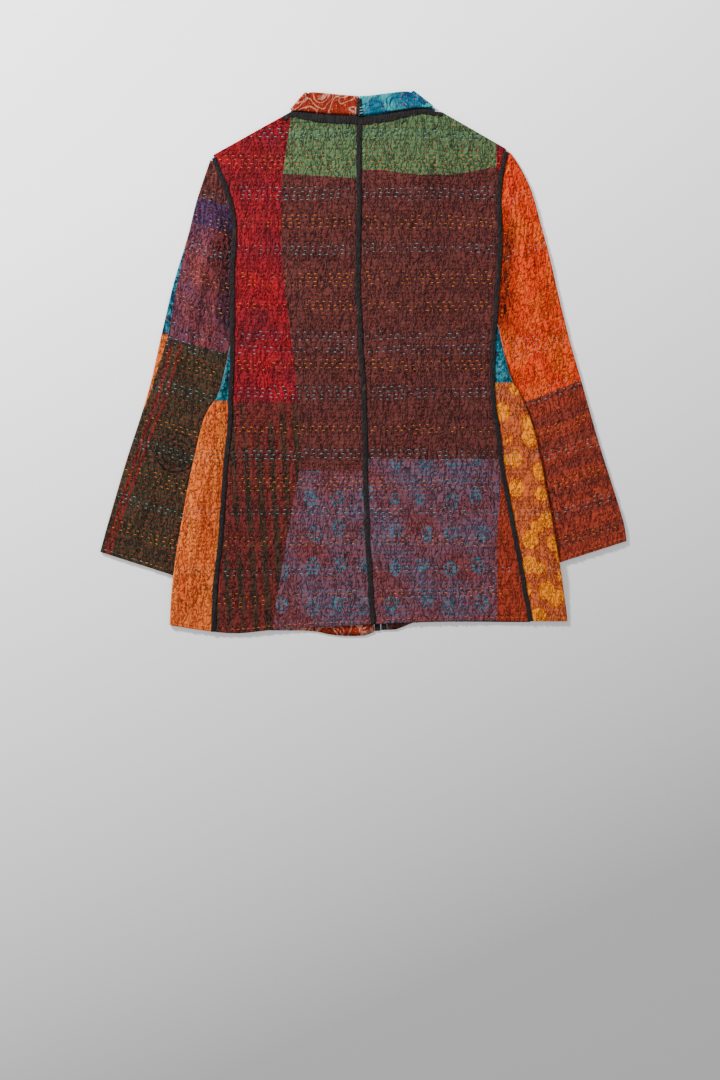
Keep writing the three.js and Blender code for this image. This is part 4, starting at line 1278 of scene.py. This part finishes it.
def collar_stitches():
    """A few pale stitches beside the collar's seam at its lower end."""
    y = np.array([357.5, 361.5, 365.5])
    x, z, lean = (np.full(len(y), value) for value in (-3.4, 10.4, 0.2))
    return dashes("stitches_collar", x, y, z, lean, np.zeros(len(y)), 5.5, 1.3)


hem_stitches()
cuff_stitches("left")
cuff_stitches("right")
collar_stitches()

# %% [markdown]
# The floor is pale, with painted light: white at the upper left to grey at the lower right, and a faint
# glow of its own. A strong light from the upper left and a wide weak one opposite let the ribs show by
# their shading. A long lens looks straight down, as the photo does.
# %% Floor, lights and camera
PIXEL = 1.43 * MM
PICTURE_WIDTH = 720 * PIXEL
PICTURE_HEIGHT = 1080 * PIXEL
AIM = ((360 - 363.5) * PIXEL, (364 - 540) * PIXEL)
CAMERA_HEIGHT = 4.5
SENSOR = 24.0
FLOOR_HALF = 6.0
FLOOR_DROP = 0.0004
FLOOR_GLOW = 0.27


def floor():
    """A wide square just under the cloth, with painted light: white at the upper left to grey at the lower
    right, and a faint glow.
    """
    mesh = bpy.data.meshes.new("floor")
    corners = np.array([(-1, -1), (1, -1), (1, 1), (-1, 1)]) * FLOOR_HALF
    mesh.from_pydata([(x, y, -FLOOR_DROP) for x, y in corners.tolist()], [], [(0, 1, 2, 3)])
    ground = bpy.data.objects.new("floor", mesh)
    bpy.context.scene.collection.objects.link(ground)
    shader = Shader("floor")
    axes = shader.node("ShaderNodeSeparateXYZ", None, {"Vector": shader.where})
    x, y = Value(shader, axes.link.node.outputs["X"]), Value(shader, axes.link.node.outputs["Y"])
    # Painted light: the colour falls from white at the upper left to grey at the lower right, as the light
    # falls off.
    away = shader.clamp((x * 0.45 - y) * 0.75 + 0.3)
    shade = shader.mix(away, (1, 1, 1, 1), (0.29, 0.285, 0.29, 1))
    shader.feed(shader.surface.inputs["Base Color"], shade)
    # Painted light: the floor glows with its own graded colour, though it is no lamp.
    shader.feed(shader.surface.inputs["Emission Color"], shade)
    shader.surface.inputs["Emission Strength"].default_value = FLOOR_GLOW
    shader.surface.inputs["Roughness"].default_value = 0.9
    mesh.materials.append(shader.material)


def area_light(name, place_at, look_at, size, power):
    """A square lamp turned to face a point."""
    light = bpy.data.lights.new(name, "AREA")
    light.size, light.energy = size, power
    lamp = bpy.data.objects.new(name, light)
    lamp.location = place_at
    direction = np.array(look_at) - np.array(place_at)
    flat = math.hypot(direction[0], direction[1])
    tilt = math.atan2(flat, -direction[2])
    turn = math.atan2(direction[1], direction[0]) - math.pi / 2
    lamp.rotation_euler = (tilt, 0, turn)
    bpy.context.scene.collection.objects.link(lamp)


def camera():
    """Looks straight down from high up, so that nothing leans away, and covers the photo's frame."""
    data = bpy.data.cameras.new("camera")
    data.sensor_fit = "VERTICAL"
    data.sensor_height = SENSOR
    data.lens = SENSOR * CAMERA_HEIGHT / PICTURE_HEIGHT
    data.clip_end = 50
    eye = bpy.data.objects.new("camera", data)
    eye.location = (AIM[0] + SHIFT[0] * MM, AIM[1] + SHIFT[1] * MM, CAMERA_HEIGHT)
    bpy.context.scene.collection.objects.link(eye)
    bpy.context.scene.camera = eye


def world():
    """An even white light from all round."""
    bpy.context.scene.world = bpy.data.worlds.new("studio")
    bpy.context.scene.world.use_nodes = True
    background = bpy.context.scene.world.node_tree.nodes["Background"]
    background.inputs["Color"].default_value = (1, 1, 1, 1)
    background.inputs["Strength"].default_value = 0.62


floor()
area_light("key", (-1.9, 1.9, 1.45), (0, 0, 0), 0.45, 235)
area_light("fill", (1.4, -1.0, 2.6), (0, -0.1, 0), 1.6, 24)
camera()
world()
print("picture covers", round(PICTURE_WIDTH, 3), "by", round(PICTURE_HEIGHT, 3), "m")
